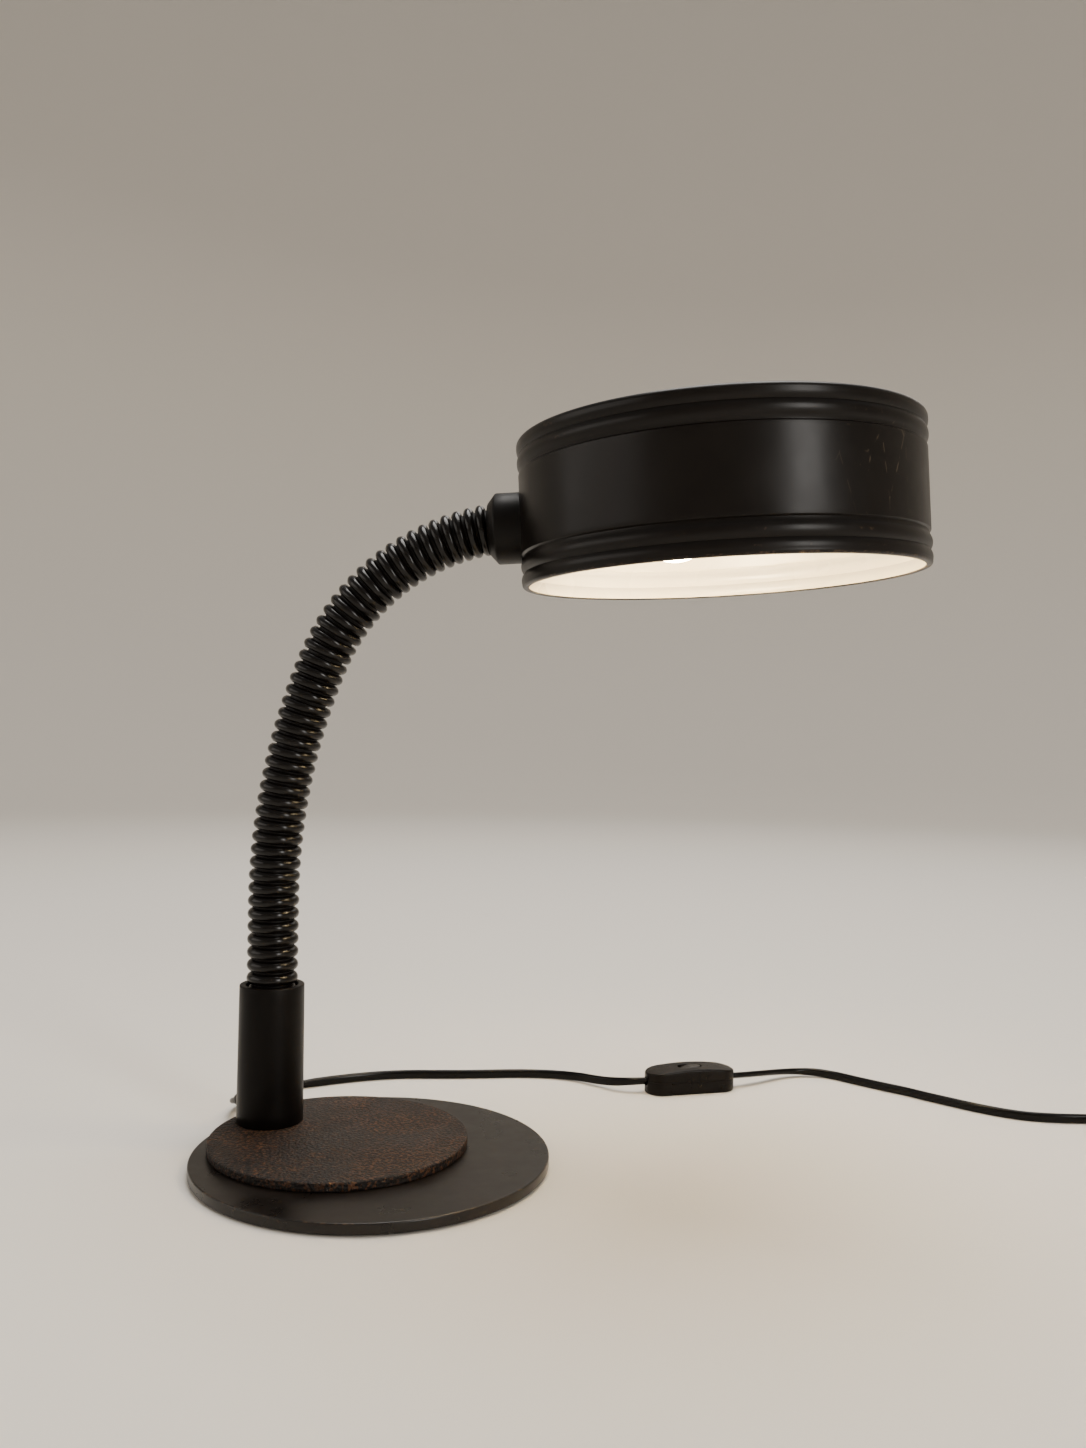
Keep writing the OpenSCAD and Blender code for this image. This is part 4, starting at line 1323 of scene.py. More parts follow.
@dataclass
class Stem:
    """The stem with the cord relief, the threaded plug and the neck clamp."""

    edge: float = 0.7
    foot_edge: float = 0.3
    clamp_z: float = 52.7
    screw_d: float = 4.1
    relief_z: float = 20.0
    relief_slope: float = 20.0
    relief_l: float = 24.0
    relief_d: float = 8.8
    relief_tip_d: float = 6.6
    relief_hole_d: float = 7.0
    relief_bore_d: float = 4.0
    flange: tuple[float, float] = (-7.3, -5.7)
    flange_w: float = 1.0
    ridge_from: float = 2.8
    ridges: int = 6
    ridge: tuple[tuple[float, float], ...] = (
        (0.1, 0.03), (0.24, 0.12), (0.42, 0.12), (0.56, 0.03), (0.83, 0.0),
    )
    cord_exit: float = 133.0
    rows: int = 12
    mouth_edge: float = 0.4

    @property
    def relief(self) -> Matrix:
        """Place where the relief leaves the stem, with +Z along it."""
        return (
            PLAN.stem
            @ turn("Z", self.cord_exit)
            @ shift(PLAN.stem_foot_d / 2, 0, self.relief_z)
            @ turn("Y", 90 + self.relief_slope)
        )

    def build(self, shop: Workshop) -> list[Piece]:
        """Make the stem and the relief, and dress the solids inside."""
        shop.dress(Paints.STEEL, "steel", "stem_plug", "clamp_screw")
        shop.dress(Paints.BRASS, "brass", "neck_clamp")
        shop.dress(Paints.CORD, "cord_black", "stem_lead")
        return [self._stem(shop), self._relief(shop)]

    def _stem(self, shop: Workshop) -> Piece:
        """Make the stem's tube with its eased edges and its two holes."""
        foot, mouth = PLAN.stem_foot_d / 2, PLAN.stem_mouth_d / 2
        low, high = PLAN.stem_z, PLAN.mouth_z
        bore, edge, ease = PLAN.stem_bore_d / 2, self.edge, self.foot_edge
        outline = [(bore, low), (foot - ease, low), (foot, low + ease)]
        for i in range(1, self.rows):
            share = i / self.rows
            outline.append((foot + (mouth - foot) * share, low + (high - low) * share))
        outline += arc_points(mouth - edge, high - edge, edge, 0, 90, 5)
        inner = self.mouth_edge
        outline += arc_points(bore + inner, high - inner, inner, 90, 180, 4)
        marks = [1.0 if z > high - edge * 1.2 else 0.0 for _, z in outline]
        shell = Shell().lathe(outline, 128, PLAN.stem, marks, closed=True)
        stem = shell.build("stem_tube", [shop.paint(Paints.STEM)], 50)
        at_screw = PLAN.stem @ shift(0, 0, self.clamp_z) @ turn("X", -90)
        cut(stem, [
            rod(self.relief_hole_d / 2, -9, 6, self.relief),
            rod(self.screw_d / 2, 12, 20, at_screw),
        ])
        return keep(stem, "base", "black_moulding", "stem")

    def _relief(self, shop: Workshop) -> Piece:
        """Make the tapered relief with its ridges and its flange inside the stem."""
        bore, neck = self.relief_bore_d / 2, self.relief_hole_d / 2 - 0.05
        (low, high), wide = self.flange, neck + self.flange_w
        outline = [(bore, low), (wide, low), (wide, high), (neck, high), (neck, 0.4)]
        body = self.relief_d / 2
        outline += [(body - 0.3, 0.5), (body, 0.9), (body, 2.6)]
        pitch = (self.relief_l - 5.0) / self.ridges
        for i in range(self.ridges):
            z = self.ridge_from + pitch * i
            for share, groove in self.ridge:
                at = z + pitch * share
                taper = body + (self.relief_tip_d / 2 - body) * at / self.relief_l
                outline.append((taper - groove, at))
        tip = self.relief_tip_d / 2
        outline += [(tip, self.relief_l - 0.6), (tip - 0.5, self.relief_l), (bore, self.relief_l)]
        outline.append((bore - 0.2, self.relief_l - 1.0))
        shell = Shell().lathe(outline, 40, self.relief, closed=True)
        relief = shell.build("cord_relief_tapered", [shop.paint(Paints.STEM)], 40)
        return keep(relief, "base", "black_moulding", "cord_relief")


# ---- Neck ----


@dataclass
class Neck:
    """The ribbed sleeve, one piece on each link of the hose, lapped at the joints."""

    rib_d: float = 27.0
    valley_d: float = 20.4
    bore_d: float = 17.8
    notch: float = 0.3
    crest_steps: int = 14
    sides: int = 72
    joint_w: float = 1.6
    lap_d: float = 19.3
    lap_bore_d: float = 18.2
    lap_l: float = 2.35
    lap_play: float = 0.1
    lap_room: float = 1.25
    lap_steps: int = 5
    recess_edge: float = 0.05
    crest_clear: float = 0.12
    crest_mark: float = 1.6
    face_gap: float = 0.15

    def build(self, shop: Workshop) -> list[Piece]:
        """Make the sleeve's pieces, and dress the hose.

        Args:
            shop: The finishes.

        Returns:
            The pieces.
        """
        links = [f"{i:02d}" for i in range(1, len(NECK.link_ribs) + 1)]
        hose = ["hose_foot", *(f"hose_{n}" for n in links), "hose_end"]
        shop.dress(Paints.STEEL, "steel", *hose)
        bodies = ["base", *(f"link_{n}" for n in links), "head"]
        nodes = ["sleeve_foot", *(f"sleeve_{n}" for n in links), "sleeve_end"]
        cuts = [-NECK.hidden_ribs, *(NECK.first_rib(i) for i in range(len(links) + 1))]
        cuts.append(NECK.rib_count)
        pieces = []
        for i, (body, node) in enumerate(zip(bodies, nodes)):
            piece = self._piece(f"{node}_ribbed", cuts[i], cuts[i + 1], shop)
            pieces.append(keep(piece, body, "black_moulding", node))
        return pieces

    def _frame(self, length: float) -> Matrix:
        """Return the place at a length of the neck, with +Z along it."""
        out, up = NECK.at(length)
        last = NECK.arc(NECK.rib_count)
        share = max(0.0, length) / last
        end, goal = NECK.at(last), NECK.head
        out += (goal[0] - end[0]) * share
        up += (goal[1] - end[1]) * share
        return PLAN.stem @ shift(out, 0, PLAN.mouth_z + up) @ turn("Y", NECK.heading(length))

    def _ball(self, radius: float, low: float, high: float) -> Outline:
        """Return points of (radius, height) on a ball round a joint, from low to high."""
        points = []
        for k in range(self.lap_steps + 1):
            z = low + (high - low) * k / self.lap_steps
            points.append((math.sqrt(radius**2 - z**2), z))
        return points

    def _foot(self, flank: float) -> Outline:
        """Return the outline of a piece's foot, which the piece below laps into."""
        ball = self.lap_d / 2 + self.lap_play
        recess = self._ball(ball, self.lap_l + self.lap_room, self.joint_w / 2)
        start = (self.bore_d / 2, recess[0][1] + self.recess_edge)
        return [start, *recess, (flank, self.joint_w / 2)]

    def _top(self, flank: float) -> Outline:
        """Return the outline of a piece's top, with its lap into the piece above."""
        lap = self._ball(self.lap_d / 2, -self.joint_w / 2, self.lap_l)
        inner = self.lap_bore_d / 2
        end = [(inner, self.lap_l), (inner, 0.0), (self.bore_d / 2, -self.joint_w)]
        return [(flank, -self.joint_w / 2), *lap, *end]

    def _flank(self, pitch: float) -> float:
        """Return the radius at which a rib beside a joint is cut off."""
        half = pitch / 2 - self.notch
        lean = (pitch / 2 - self.joint_w / 2) / half
        return self.valley_d / 2 + (self.rib_d - self.valley_d) / 2 * math.sqrt(1 - lean**2)

    def _piece(self, name: str, first: int, last: int, shop: Workshop) -> Piece:
        """Make the sleeve from one rib to another.

        Args:
            name: The piece's name.
            first: The rib that it starts with.
            last: The rib that it ends before.
            shop: The finishes.

        Returns:
            The piece.
        """
        valley, bore = self.valley_d / 2, self.bore_d / 2
        depth = self.rib_d / 2 - valley
        rings, marks = [], []

        def put(place: Matrix, offset: float, radius: float) -> None:
            """Add one ring about the neck."""
            rings.append(circle(radius, offset, self.sides, place))
            marks.append(min(1.0, max(0.0, (radius - valley) / depth * self.crest_mark)))

        low, high = self._frame(NECK.arc(first)), self._frame(NECK.arc(last))
        jointed_foot, jointed_top = first > -NECK.hidden_ribs, last < NECK.rib_count
        foot, top = [(bore, 0), (valley, 0)], [(valley, 0), (bore, 0)]
        if jointed_foot:
            foot = self._foot(self._flank(NECK.pitch(first)))
        if jointed_top:
            top = self._top(self._flank(NECK.pitch(last - 1)))
        for radius, z in foot:
            put(low, z, radius)
        clear = self.joint_w / 2 + self.crest_clear
        for rib in range(first, last):
            start, stop = NECK.arc(rib), NECK.arc(rib + 1)
            middle = (start + stop) / 2
            place = self._frame(middle)
            half = (stop - start) / 2 - self.notch
            for k in range(self.crest_steps + 1):
                a = math.pi * k / self.crest_steps
                at = -half * math.cos(a)
                if rib == first and jointed_foot and middle + at - start < clear:
                    continue
                if rib + 1 == last and jointed_top and stop - middle - at < clear:
                    continue
                put(place, at, valley + depth * math.sin(a))
            if rib + 1 < last:
                put(self._frame(stop), 0, valley)
        for radius, z in top:
            put(high, z, radius)
        shell = Shell().stack(rings, marks, closed=True)
        if last == NECK.rib_count:
            face = head_line(-self.face_gap)
            inverse = face.inverted()
            for i, point in enumerate(shell.points):
                local = inverse @ point
                if local.z > 0:
                    local.z = 0
                    shell.points[i] = face @ local
        return shell.build(name, [shop.paint(Paints.RIBS)], 60)


# ---- Head ----


@dataclass
class Shade:
    """The spun shade with two beads at each rim, painted outside and enamelled inside."""

    height: float = 74.8
    sheet: float = 0.8
    bead_pitch: float = 7.3
    bead_depth: float = 1.25
    bead_steps: int = 14
    groove_step: float = 1.6
    groove_w: float = 2.6
    groove_end: float = 0.9
    step_points: tuple[tuple[float, float], ...] = ((-0.16, -0.14), (-0.04, -0.03), (0.1, 0.0))
    rim_w: float = 3.6
    rim_round: float = 1.5
    top_round: float = 2.6
    panel_d: float = 184.0
    panel_step: float = 1.4
    panel_round: float = 0.6
    brow_round: float = 0.7
    inner_round: float = 1.4
    wall_rows: int = 18
    panel_shares: tuple[float, ...] = (0.3, 0.6, 0.85, 0.95)
    worn_lip: float = 1.2
    bead_wear: float = 0.86
    sides: int = 288
    nipple_d: float = 10.1

    def rim(self) -> Outline:
        """Return the outline from a rim to the wall: two round beads, a groove and a step.

        Returns:
            Points of (distance from the rim, radius).
        """
        full = PLAN.shade_d / 2
        points = []
        for bead in range(2):
            for k in range(self.bead_steps):
                u = 2 * k / self.bead_steps - 1
                away = self.bead_pitch * (bead + 0.5 + u / 2)
                points.append((away, full - self.bead_depth * u * u))
        end = 2 * self.bead_pitch
        step = end + self.groove_w
        groove = (step - self.groove_end, full - self.groove_step)
        points += [(end, full - self.bead_depth), groove]
        return points + [(step + away, PLAN.wall_r + out) for away, out in self.step_points]

    def outline(self) -> tuple[Outline, list[float], list[int]]:
        """Return the sheet's whole outline from the middle of its top and back inside.

        Returns:
            The points, how much each is an edge that wears, and the finish after each.
        """
        top, rise = self.height, self.top_round
        panel_r, step, bend = self.panel_d / 2, self.panel_step, self.panel_round
        brow, inner, rows = self.brow_round, self.inner_round, self.wall_rows
        points: Outline = [(0.0, top - step)]
        points += [(panel_r * share, top - step) for share in self.panel_shares]
        points += arc_points(panel_r - 0.1, top - step + bend, bend, -90, 0, 3)
        points += arc_points(panel_r + 1.2, top - brow, brow, 180, 90, 3)
        rim = self.rim()
        rim_h = rim[-1][0]
        side = [(radius, top - away) for away, radius in rim if away > rise + 0.2]
        wall_h = top - 2 * rim_h
        side += [(PLAN.wall_r, top - rim_h - wall_h * i / rows) for i in range(1, rows)]
        side += [(radius, away) for away, radius in reversed(rim) if away > self.rim_round + 0.2]
        points += arc_points(side[0][0] - rise, top - rise, rise, 90, 0, 8)
        points += side
        low = side[-1][0]
        points += arc_points(low - self.rim_round, self.rim_round, self.rim_round, 0, -90, 6)
        lip = PLAN.shade_d / 2 - self.rim_w
        points += [(lip + 0.4, 0.0), (lip, 0.15)]
        outside = len(points)
        points += [(lip, self.sheet - 0.1), (lip + 0.4, self.sheet), (low - 1.6, self.sheet)]
        inside = [(r, z) for r, z in reversed(side) if self.sheet + 0.6 < z < top - 3.4]
        points += [(r - self.sheet, z) for r, z in inside]
        ceiling = top - step - self.sheet
        points += arc_points(PLAN.wall_r - 3.2, ceiling - inner, inner, 0, 90, 4)
        points += [(panel_r * share, ceiling) for share in reversed(self.panel_shares)]
        points.append((0.0, ceiling))
        marks = [self._edge(r, z) if i < outside else 0.0 for i, (r, z) in enumerate(points)]
        finishes = [0 if i < outside else 1 for i in range(len(points))]
        return points, marks, finishes

    def _edge(self, radius: float, z: float) -> float:
        """Return how much a point of the outside is an edge that wears."""
        if z < self.worn_lip:
            return 1.0
        end = min(z, self.height - z)
        crest = smooth((radius - PLAN.shade_d / 2 + 0.25) / 0.2)
        return self.bead_wear * crest if end < 2 * self.bead_pitch else 0.0

    def build(self, shop: Workshop) -> Piece:
        """Make the shade and return it."""
        points, marks, finishes = self.outline()
        shell = Shell().lathe(points, self.sides, shade_place(), marks, finishes)
        materials = [shop.paint(Paints.SHADE), shop.paint(Paints.ENAMEL)]
        shade = shell.build("shade_spun", materials, 50)
        cut(shade, [rod(self.nipple_d / 2, 8, 30, head_line())])
        return keep(shade, "head", "black_paint", "shade")


@dataclass
class Head:
    """The collar beside the shade, and the lampholder and the bulb inside it."""

    collar_d: float = 37.2
    nose_d: float = 27.6
    bevel: float = 4.0
    socket_d: float = 16.5
    socket_l: float = 12.0
    collar_sides: int = 128
    nipple_d: float = 10.1
    holder_x: float = 21.0
    holder_d: float = 39.0
    holder_l: float = 51.0
    boss_d: float = 22.0
    boss_l: float = 6.0
    cone_l: float = 7.0
    floor_l: float = 14.5
    shell_d: float = 28.3
    flutes: int = 28
    flute_depth: float = 0.7
    flute_rows: int = 10
    flute_row: float = 1.8
    flute_sides: int = 8
    cap_x: float = 41.5
    cap_d: float = 26.6
    cap_l: float = 24.0
    thread_pitch: float = 3.6
    contact: tuple[tuple[float, float], ...] = ((3.4, 0.0), (4.4, 0.7), (4.5, 2.2), (8.0, 2.8))
    thread_z: float = 5.6
    thread_depth: float = 0.9
    thread_steps: int = 8
    bulb_l: float = 78.0
    bulb_d: float = 45.0
    bulb_neck_d: float = 25.0
    bulb_flare: float = 17.0
    flare_rows: int = 9
    glass: float = 0.8

    def build(self, shop: Workshop) -> list[Piece]:
        """Make the pieces and dress the metal that stays."""
        shop.dress(Paints.STEEL, "steel", "collar_nut")
        shop.dress(Paints.BRASS, "brass", "holder_contacts")
        shop.dress(Paints.LEAD, "lead_sleeving", "head_lead")
        return [self._collar(shop), self._holder(shop), self._cap(shop), self._bulb(shop)]

    def _collar(self, shop: Workshop) -> Piece:
        """Make the collar, whose end follows the shade's wall."""
        nose, barrel = self.nose_d / 2, self.collar_d / 2
        far = PLAN.collar_l + 4
        outline = [(self.socket_d / 2, 0.0), (nose - 0.5, 0.0), (nose, 0.25)]
        outline += [(barrel - 0.7, self.bevel - 0.35), (barrel - 0.2, self.bevel + 0.1)]
        outline += [(barrel, self.bevel + 0.7), (barrel, 9.0), (barrel, 13.0), (barrel, far)]
        outline += [(self.nipple_d / 2, far), (self.nipple_d / 2, self.socket_l)]
        outline.append((self.socket_d / 2, self.socket_l))
        marks = [1.0 if 2 <= i <= 5 else 0.0 for i in range(len(outline))]
        rings = []
        for radius, x in outline:
            ring = []
            for k in range(self.collar_sides):
                a = math.tau * k / self.collar_sides
                y = radius * math.sin(a)
                wall = PLAN.shade_axis - math.sqrt((PLAN.wall_r - 0.05) ** 2 - y * y)
                ring.append(head_line() @ Vector((radius * math.cos(a), y, min(x, wall))))
            rings.append(ring)
        shell = Shell().stack(rings, marks, closed=True)
        piece = shell.build("collar_turned", [shop.paint(Paints.COLLAR)], 50)
        return keep(piece, "head", "black_moulding", "collar")

    def _holder(self, shop: Workshop) -> Piece:
        """Make the lampholder with its fluted skirt."""
        boss, body = self.boss_d / 2, self.holder_d / 2
        cone = self.boss_l + self.cone_l
        outline = [(self.nipple_d / 2, 0.0), (boss - 0.6, 0.0), (boss, 0.6), (boss, self.boss_l)]
        outline += [(boss + (body - boss) * s, self.boss_l + self.cone_l * s) for s in (0.5, 0.94)]
        outline += [(body, cone + 0.8)]
        fluted = [(body, cone + 2.0)]
        fluted += [(body, cone + 2.6 + self.flute_row * i) for i in range(self.flute_rows)]
        outline += fluted
        outline += [(body, cone + 21.0), (body, cone + 21.6), (body - 0.6, cone + 22.2)]
        outline += [(body - 0.6, cone + 23.4), (body, cone + 24.0), (body, self.holder_l - 0.8)]
        outline += [(body - 0.8, self.holder_l), (self.shell_d / 2 + 0.3, self.holder_l)]
        outline += [(self.shell_d / 2, self.holder_l - 0.4), (self.shell_d / 2, self.floor_l)]
        outline.append((self.nipple_d / 2, self.floor_l))
        sides = self.flutes * self.flute_sides
        rings = []
        for radius, z in outline:
            ring = []
            for k in range(sides):
                a = math.tau * k / sides
                depth = 0.0
                if (radius, z) in fluted:
                    ease = smooth((z - cone - 1.8) / 2.5) * smooth((cone + 20.6 - z) / 2.5)
                    depth = self.flute_depth * ease * max(0.0, math.cos(a * self.flutes)) ** 0.6
                at = radius - depth
                ring.append(Vector((at * math.cos(a), at * math.sin(a), z)))
            rings.append(ring)
        shell = Shell().stack(placed(rings, head_line(self.holder_x)), closed=True)
        piece = shell.build("lampholder_fluted", [shop.paint(Paints.BAKELITE)], 40)
        return keep(piece, "head", "holder_moulding", "lampholder")

    def _cap(self, shop: Workshop) -> Piece:
        """Make the bulb's threaded cap with its centre contact."""
        top = self.cap_d / 2
        outline = [(0.0, 0.0), *self.contact, (top - 2.4, 4.4)]
        turns = int((self.cap_l - 8) / self.thread_pitch)
        half, steps = self.thread_depth / 2, self.thread_steps
        for i in range(turns * steps):
            z = self.thread_z + i * self.thread_pitch / steps
            outline.append((top - half + half * math.cos(math.tau * i / steps), z))
        outline += [(top - 0.6, self.cap_l - 1.4), (top - 0.5, self.cap_l)]
        seat = self.bulb_neck_d / 2 + 0.05
        outline += [(seat, self.cap_l), (seat, 3.8), (0.0, 3.6)]
        shell = Shell().lathe(outline, 72, head_line(self.cap_x))
        piece = shell.build("bulb_cap_threaded", [shop.paint(Paints.BRASS)], 60)
        return keep(piece, "head", "brass", "bulb_cap")

    def _bulb(self, shop: Workshop) -> Piece:
        """Make the bulb's glass, which widens evenly from its neck into a ball."""
        ball, neck = self.bulb_d / 2, self.bulb_neck_d / 2
        middle, start = self.bulb_l - ball, 4.4
        joined = middle - self.bulb_flare
        outline = [(neck, start), (neck, self.cap_l), (neck, joined - 6)]
        for i in range(1, self.flare_rows):
            share = i / self.flare_rows
            z = joined - 6 + (middle - joined) * share
            target = math.sqrt(max(0.0, ball**2 - (z - middle) ** 2)) if z > middle - ball else 0
            outline.append((max(neck, neck + (max(target, neck) - neck) * smooth(share)), z))
        angle = math.degrees(math.asin(-6 / ball))
        outline += arc_points(0.0, middle, ball, angle, 90, 20)
        inner = [(max(0.0, r - self.glass), z) for r, z in outline[:-1]]
        inner[-1] = (inner[-1][0], inner[-1][1] - self.glass)
        outline[-1] = (0.0, self.bulb_l)
        inside = [(r, z - self.glass * max(0.0, (z - middle) / ball)) for r, z in inner]
        full = outline + [(0.0, self.bulb_l - self.glass)] + inside[::-1]
        shell = Shell().lathe(full, 64, head_line(self.cap_x), closed=True)
        piece = shell.build("bulb_glass_frosted", [shop.paint(Paints.BULB)], 60)
        return keep(piece, "head", "glass", "bulb_glass")


# ---- Switch ----


@dataclass
class Switch:
    """The switch in the cord: two shells, and a rocker in a round-ended window."""

    at: tuple[float, float] = (165.3, 149.4)
    turned: float = 19.9
    length: float = 57.0
    width: float = 20.0
    height: float = 15.0
    seam: float = 7.6
    arch: float = 2.6
    corner: float = 9.4
    wall: float = 2.0
    edge: float = 1.1
    rocker_l: float = 14.4
    rocker_w: float = 6.6
    rocker_h: float = 5.0
    window_gap: float = 0.6
    pivot_depth: float = 2.6
    tilt: float = 7.0
    cord_z: float = 7.2
    cord_w: float = 5.5
    corner_points: int = 20
    run_points: int = 26
    seam_inset: float = 0.14
    seam_half: float = 0.12
    lip: float = 0.02
    foot_round: float = 0.8
    rocker_edge: float = 0.5
    rocker_weld: float = 0.12
    screw_x: float = 19.5
    screw_head_d: float = 5.6
    screw_head_h: float = 1.8
    screw_d: float = 3.1
    screw_l: float = 4.0

    @property
    def place(self) -> Matrix:
        """Place of the switch's middle on the table."""
        return shift(*self.at, 0) @ turn("Z", self.turned)

    def roof(self, x: float, inset: float = 0.0) -> float:
        """Return the height of the arched top at a distance from the middle."""
        radius = ((self.length / 2) ** 2 + self.arch**2) / (2 * self.arch)
        return self.height - radius + math.sqrt((radius - inset) ** 2 - x * x)

    def build(self, shop: Workshop) -> list[Piece]:
        """Make the shells and the rocker, and dress the metal inside.

        Args:
            shop: The finishes.

        Returns:
            The pieces, and the solids that stay.
        """
        shop.dress(Paints.BRASS, "brass", "switch_contacts")
        shop.dress(Paints.STEEL, "steel", "switch_screws")
        pieces = [self._cover(shop), self._base(shop), self._rocker(shop)]
        return [*pieces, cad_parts["switch_contacts"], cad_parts["switch_screws"]]

    def _pill(self, length: float, width: float, radius: float) -> Outline:
        """Return a plan with round corners, with the same number of points each time."""
        return pill_ring(length, width, radius, self.corner_points, self.run_points)

    def _ring(self, inset: float, height: Callable[[float], float]) -> list[Vector]:
        """Return the switch's plan, drawn in by inset, at a height that depends on X."""
        long, wide = self.length - 2 * inset, self.width - 2 * inset
        return lifted(self._pill(long, wide, self.corner - inset), height)

    def _cover(self, shop: Workshop) -> Piece:
        """Make the upper shell: wall, eased edge, arched top, window and inside."""
        seam, edge, wall = self.seam, self.edge, self.wall
        low = seam + self.seam_half
        inner = seam + self.lip
        rings = [self._ring(self.seam_inset, lambda x: inner), self._ring(0.0, lambda x: low)]
        for share in (0.33, 0.66, 1.0):
            rings.append(
                self._ring(0.0, lambda x, s=share: low + (self.roof(x) - edge - low) * s)
            )
        marks = [0.0, 0.2, 0.0, 0.0, 0.3]
        for k in range(1, 6):
            a = math.pi / 2 * k / 5
            inset, drop = edge * (1 - math.cos(a)), edge * (1 - math.sin(a))
            rings.append(self._ring(inset, lambda x, d=drop: self.roof(x) - d))
            marks.append(math.sin(a))
        gap = self.window_gap
        long, wide = self.rocker_l + 2 * gap, self.rocker_w + 2 * gap
        window = self._pill(long, wide, self.rocker_w / 2 + gap - 0.01)
        outer = rings[-1]
        for share in (0.25, 0.5, 0.75, 0.94):
            flat = [
                (p.x + (x - p.x) * share, p.y + (y - p.y) * share)
                for p, (x, y) in zip(outer, window)
            ]
            rings.append(lifted(flat, self.roof))
            marks.append(0.0)
        rings.append([Vector((x * 1.01, y * 1.01, self.roof(x) - 0.05)) for x, y in window])
        rings.append(lifted(window, lambda x: self.roof(x) - 0.3))
        rings.append(lifted(window, lambda x: self.roof(x) - wall))
        marks += [0.6, 0.3, 0.0]
        end = self.length / 2 - wall
        rings.append(self._ring(wall, lambda x: self.roof(min(x, end), wall)))
        rings.append(self._ring(wall, lambda x: inner))
        marks += [0.0, 0.0]
        shell = Shell().stack(placed(rings, self.place), marks, closed=True)
        cover = shell.build("switch_cover_shell", [shop.paint(Paints.SWITCH)], 50)
        cut(cover, [self._cord_way()])
        return keep(cover, "base", "switch_moulding", "switch_cover")

    def _base(self, shop: Workshop) -> Piece:
        """Make the lower shell with its floor."""
        seam, wall = self.seam, self.wall
        ease, top = self.foot_round, seam - self.lip
        levels = [(1.2, 0.0)]
        for k in range(4):
            a = math.pi / 2 * k / 3
            levels.append((ease * (1 - math.sin(a)), ease * (1 - math.cos(a))))
        levels += [(0.0, seam * 0.5), (0.0, seam - self.seam_half), (self.seam_inset, top)]
        levels += [(wall, top), (wall, wall)]
        rings = [self._ring(inset, lambda x, z=z: z) for inset, z in levels]
        rings = [[Vector((0, 0, 0))], *rings, [Vector((0, 0, wall))]]
        shell = Shell().stack(placed(rings, self.place))
        base = shell.build("switch_base_shell", [shop.paint(Paints.SWITCH)], 50)
        cutters = [self._cord_way()]
        for x in (-self.screw_x, self.screw_x):
            hole = self.place @ shift(x, 0, 0)
            cutters.append(rod(self.screw_head_d / 2, -1, self.screw_head_h, hole, 32))
            cutters.append(rod(self.screw_d / 2, -1, self.screw_l, hole, 32))
        cut(base, cutters)
        return keep(base, "base", "switch_moulding", "switch_base")

    def _cord_way(self) -> Piece:
        """Return the bar that cuts the cord's way through both ends."""
        place = self.place @ shift(0, 0, self.cord_z) @ turn("Y", 90)
        return rod(self.cord_w / 2, -self.length, self.length, place)

    def _rocker(self, shop: Workshop) -> Piece:
        """Make the rocker: two flats that meet over its pivot, with eased edges."""
        ease, low = self.rocker_edge, -self.rocker_h / 2

        def ring(inset: float, height: Callable[[float], float]) -> list[Vector]:
            """Return the rocker's plan, drawn in by inset."""
            long, wide = self.rocker_l - 2 * inset, self.rocker_w - 2 * inset
            return lifted(self._pill(long, wide, self.rocker_w / 2 - inset - 0.01), height)

        slope = math.tan(math.radians(self.tilt))

        def top(x: float) -> float:
            """Return the height of the flats, which fall to both ends."""
            return self.pivot_depth - slope * math.sqrt(x * x + 0.3)

        rings = [[Vector((0, 0, low))], ring(0.3, lambda x: low), ring(0.0, lambda x: low + 0.3)]
        marks = [0.0, 0.0, 0.0]
        for k in range(0, 5):
            a = math.pi / 2 * k / 4
            inset, drop = ease * (1 - math.cos(a)), ease * (1 - math.sin(a))
            rings.append(ring(inset, lambda x, d=drop: top(x) - d))
            marks.append(0.6)
        edge = rings[-1]
        for share in (0.3, 0.6, 0.85):
            rings.append(lifted([(p.x * (1 - share * 0.3), p.y * (1 - share)) for p in edge], top))
            marks.append(0.0)
        rings.append(lifted([(p.x * 0.7, p.y * 0.02) for p in edge], top))
        marks.append(0.0)
        place = self.place @ shift(0, 0, self.height - self.pivot_depth) @ turn("Y", -self.tilt)
        shell = Shell().stack(placed(rings, place), marks)
        rocker = shell.build("rocker_pill", [shop.paint(Paints.ROCKER)], 30)
        weld(rocker, self.rocker_weld)
        return keep(rocker, "rocker", "switch_moulding", "switch_rocker")


# ---- Plug and tie ----


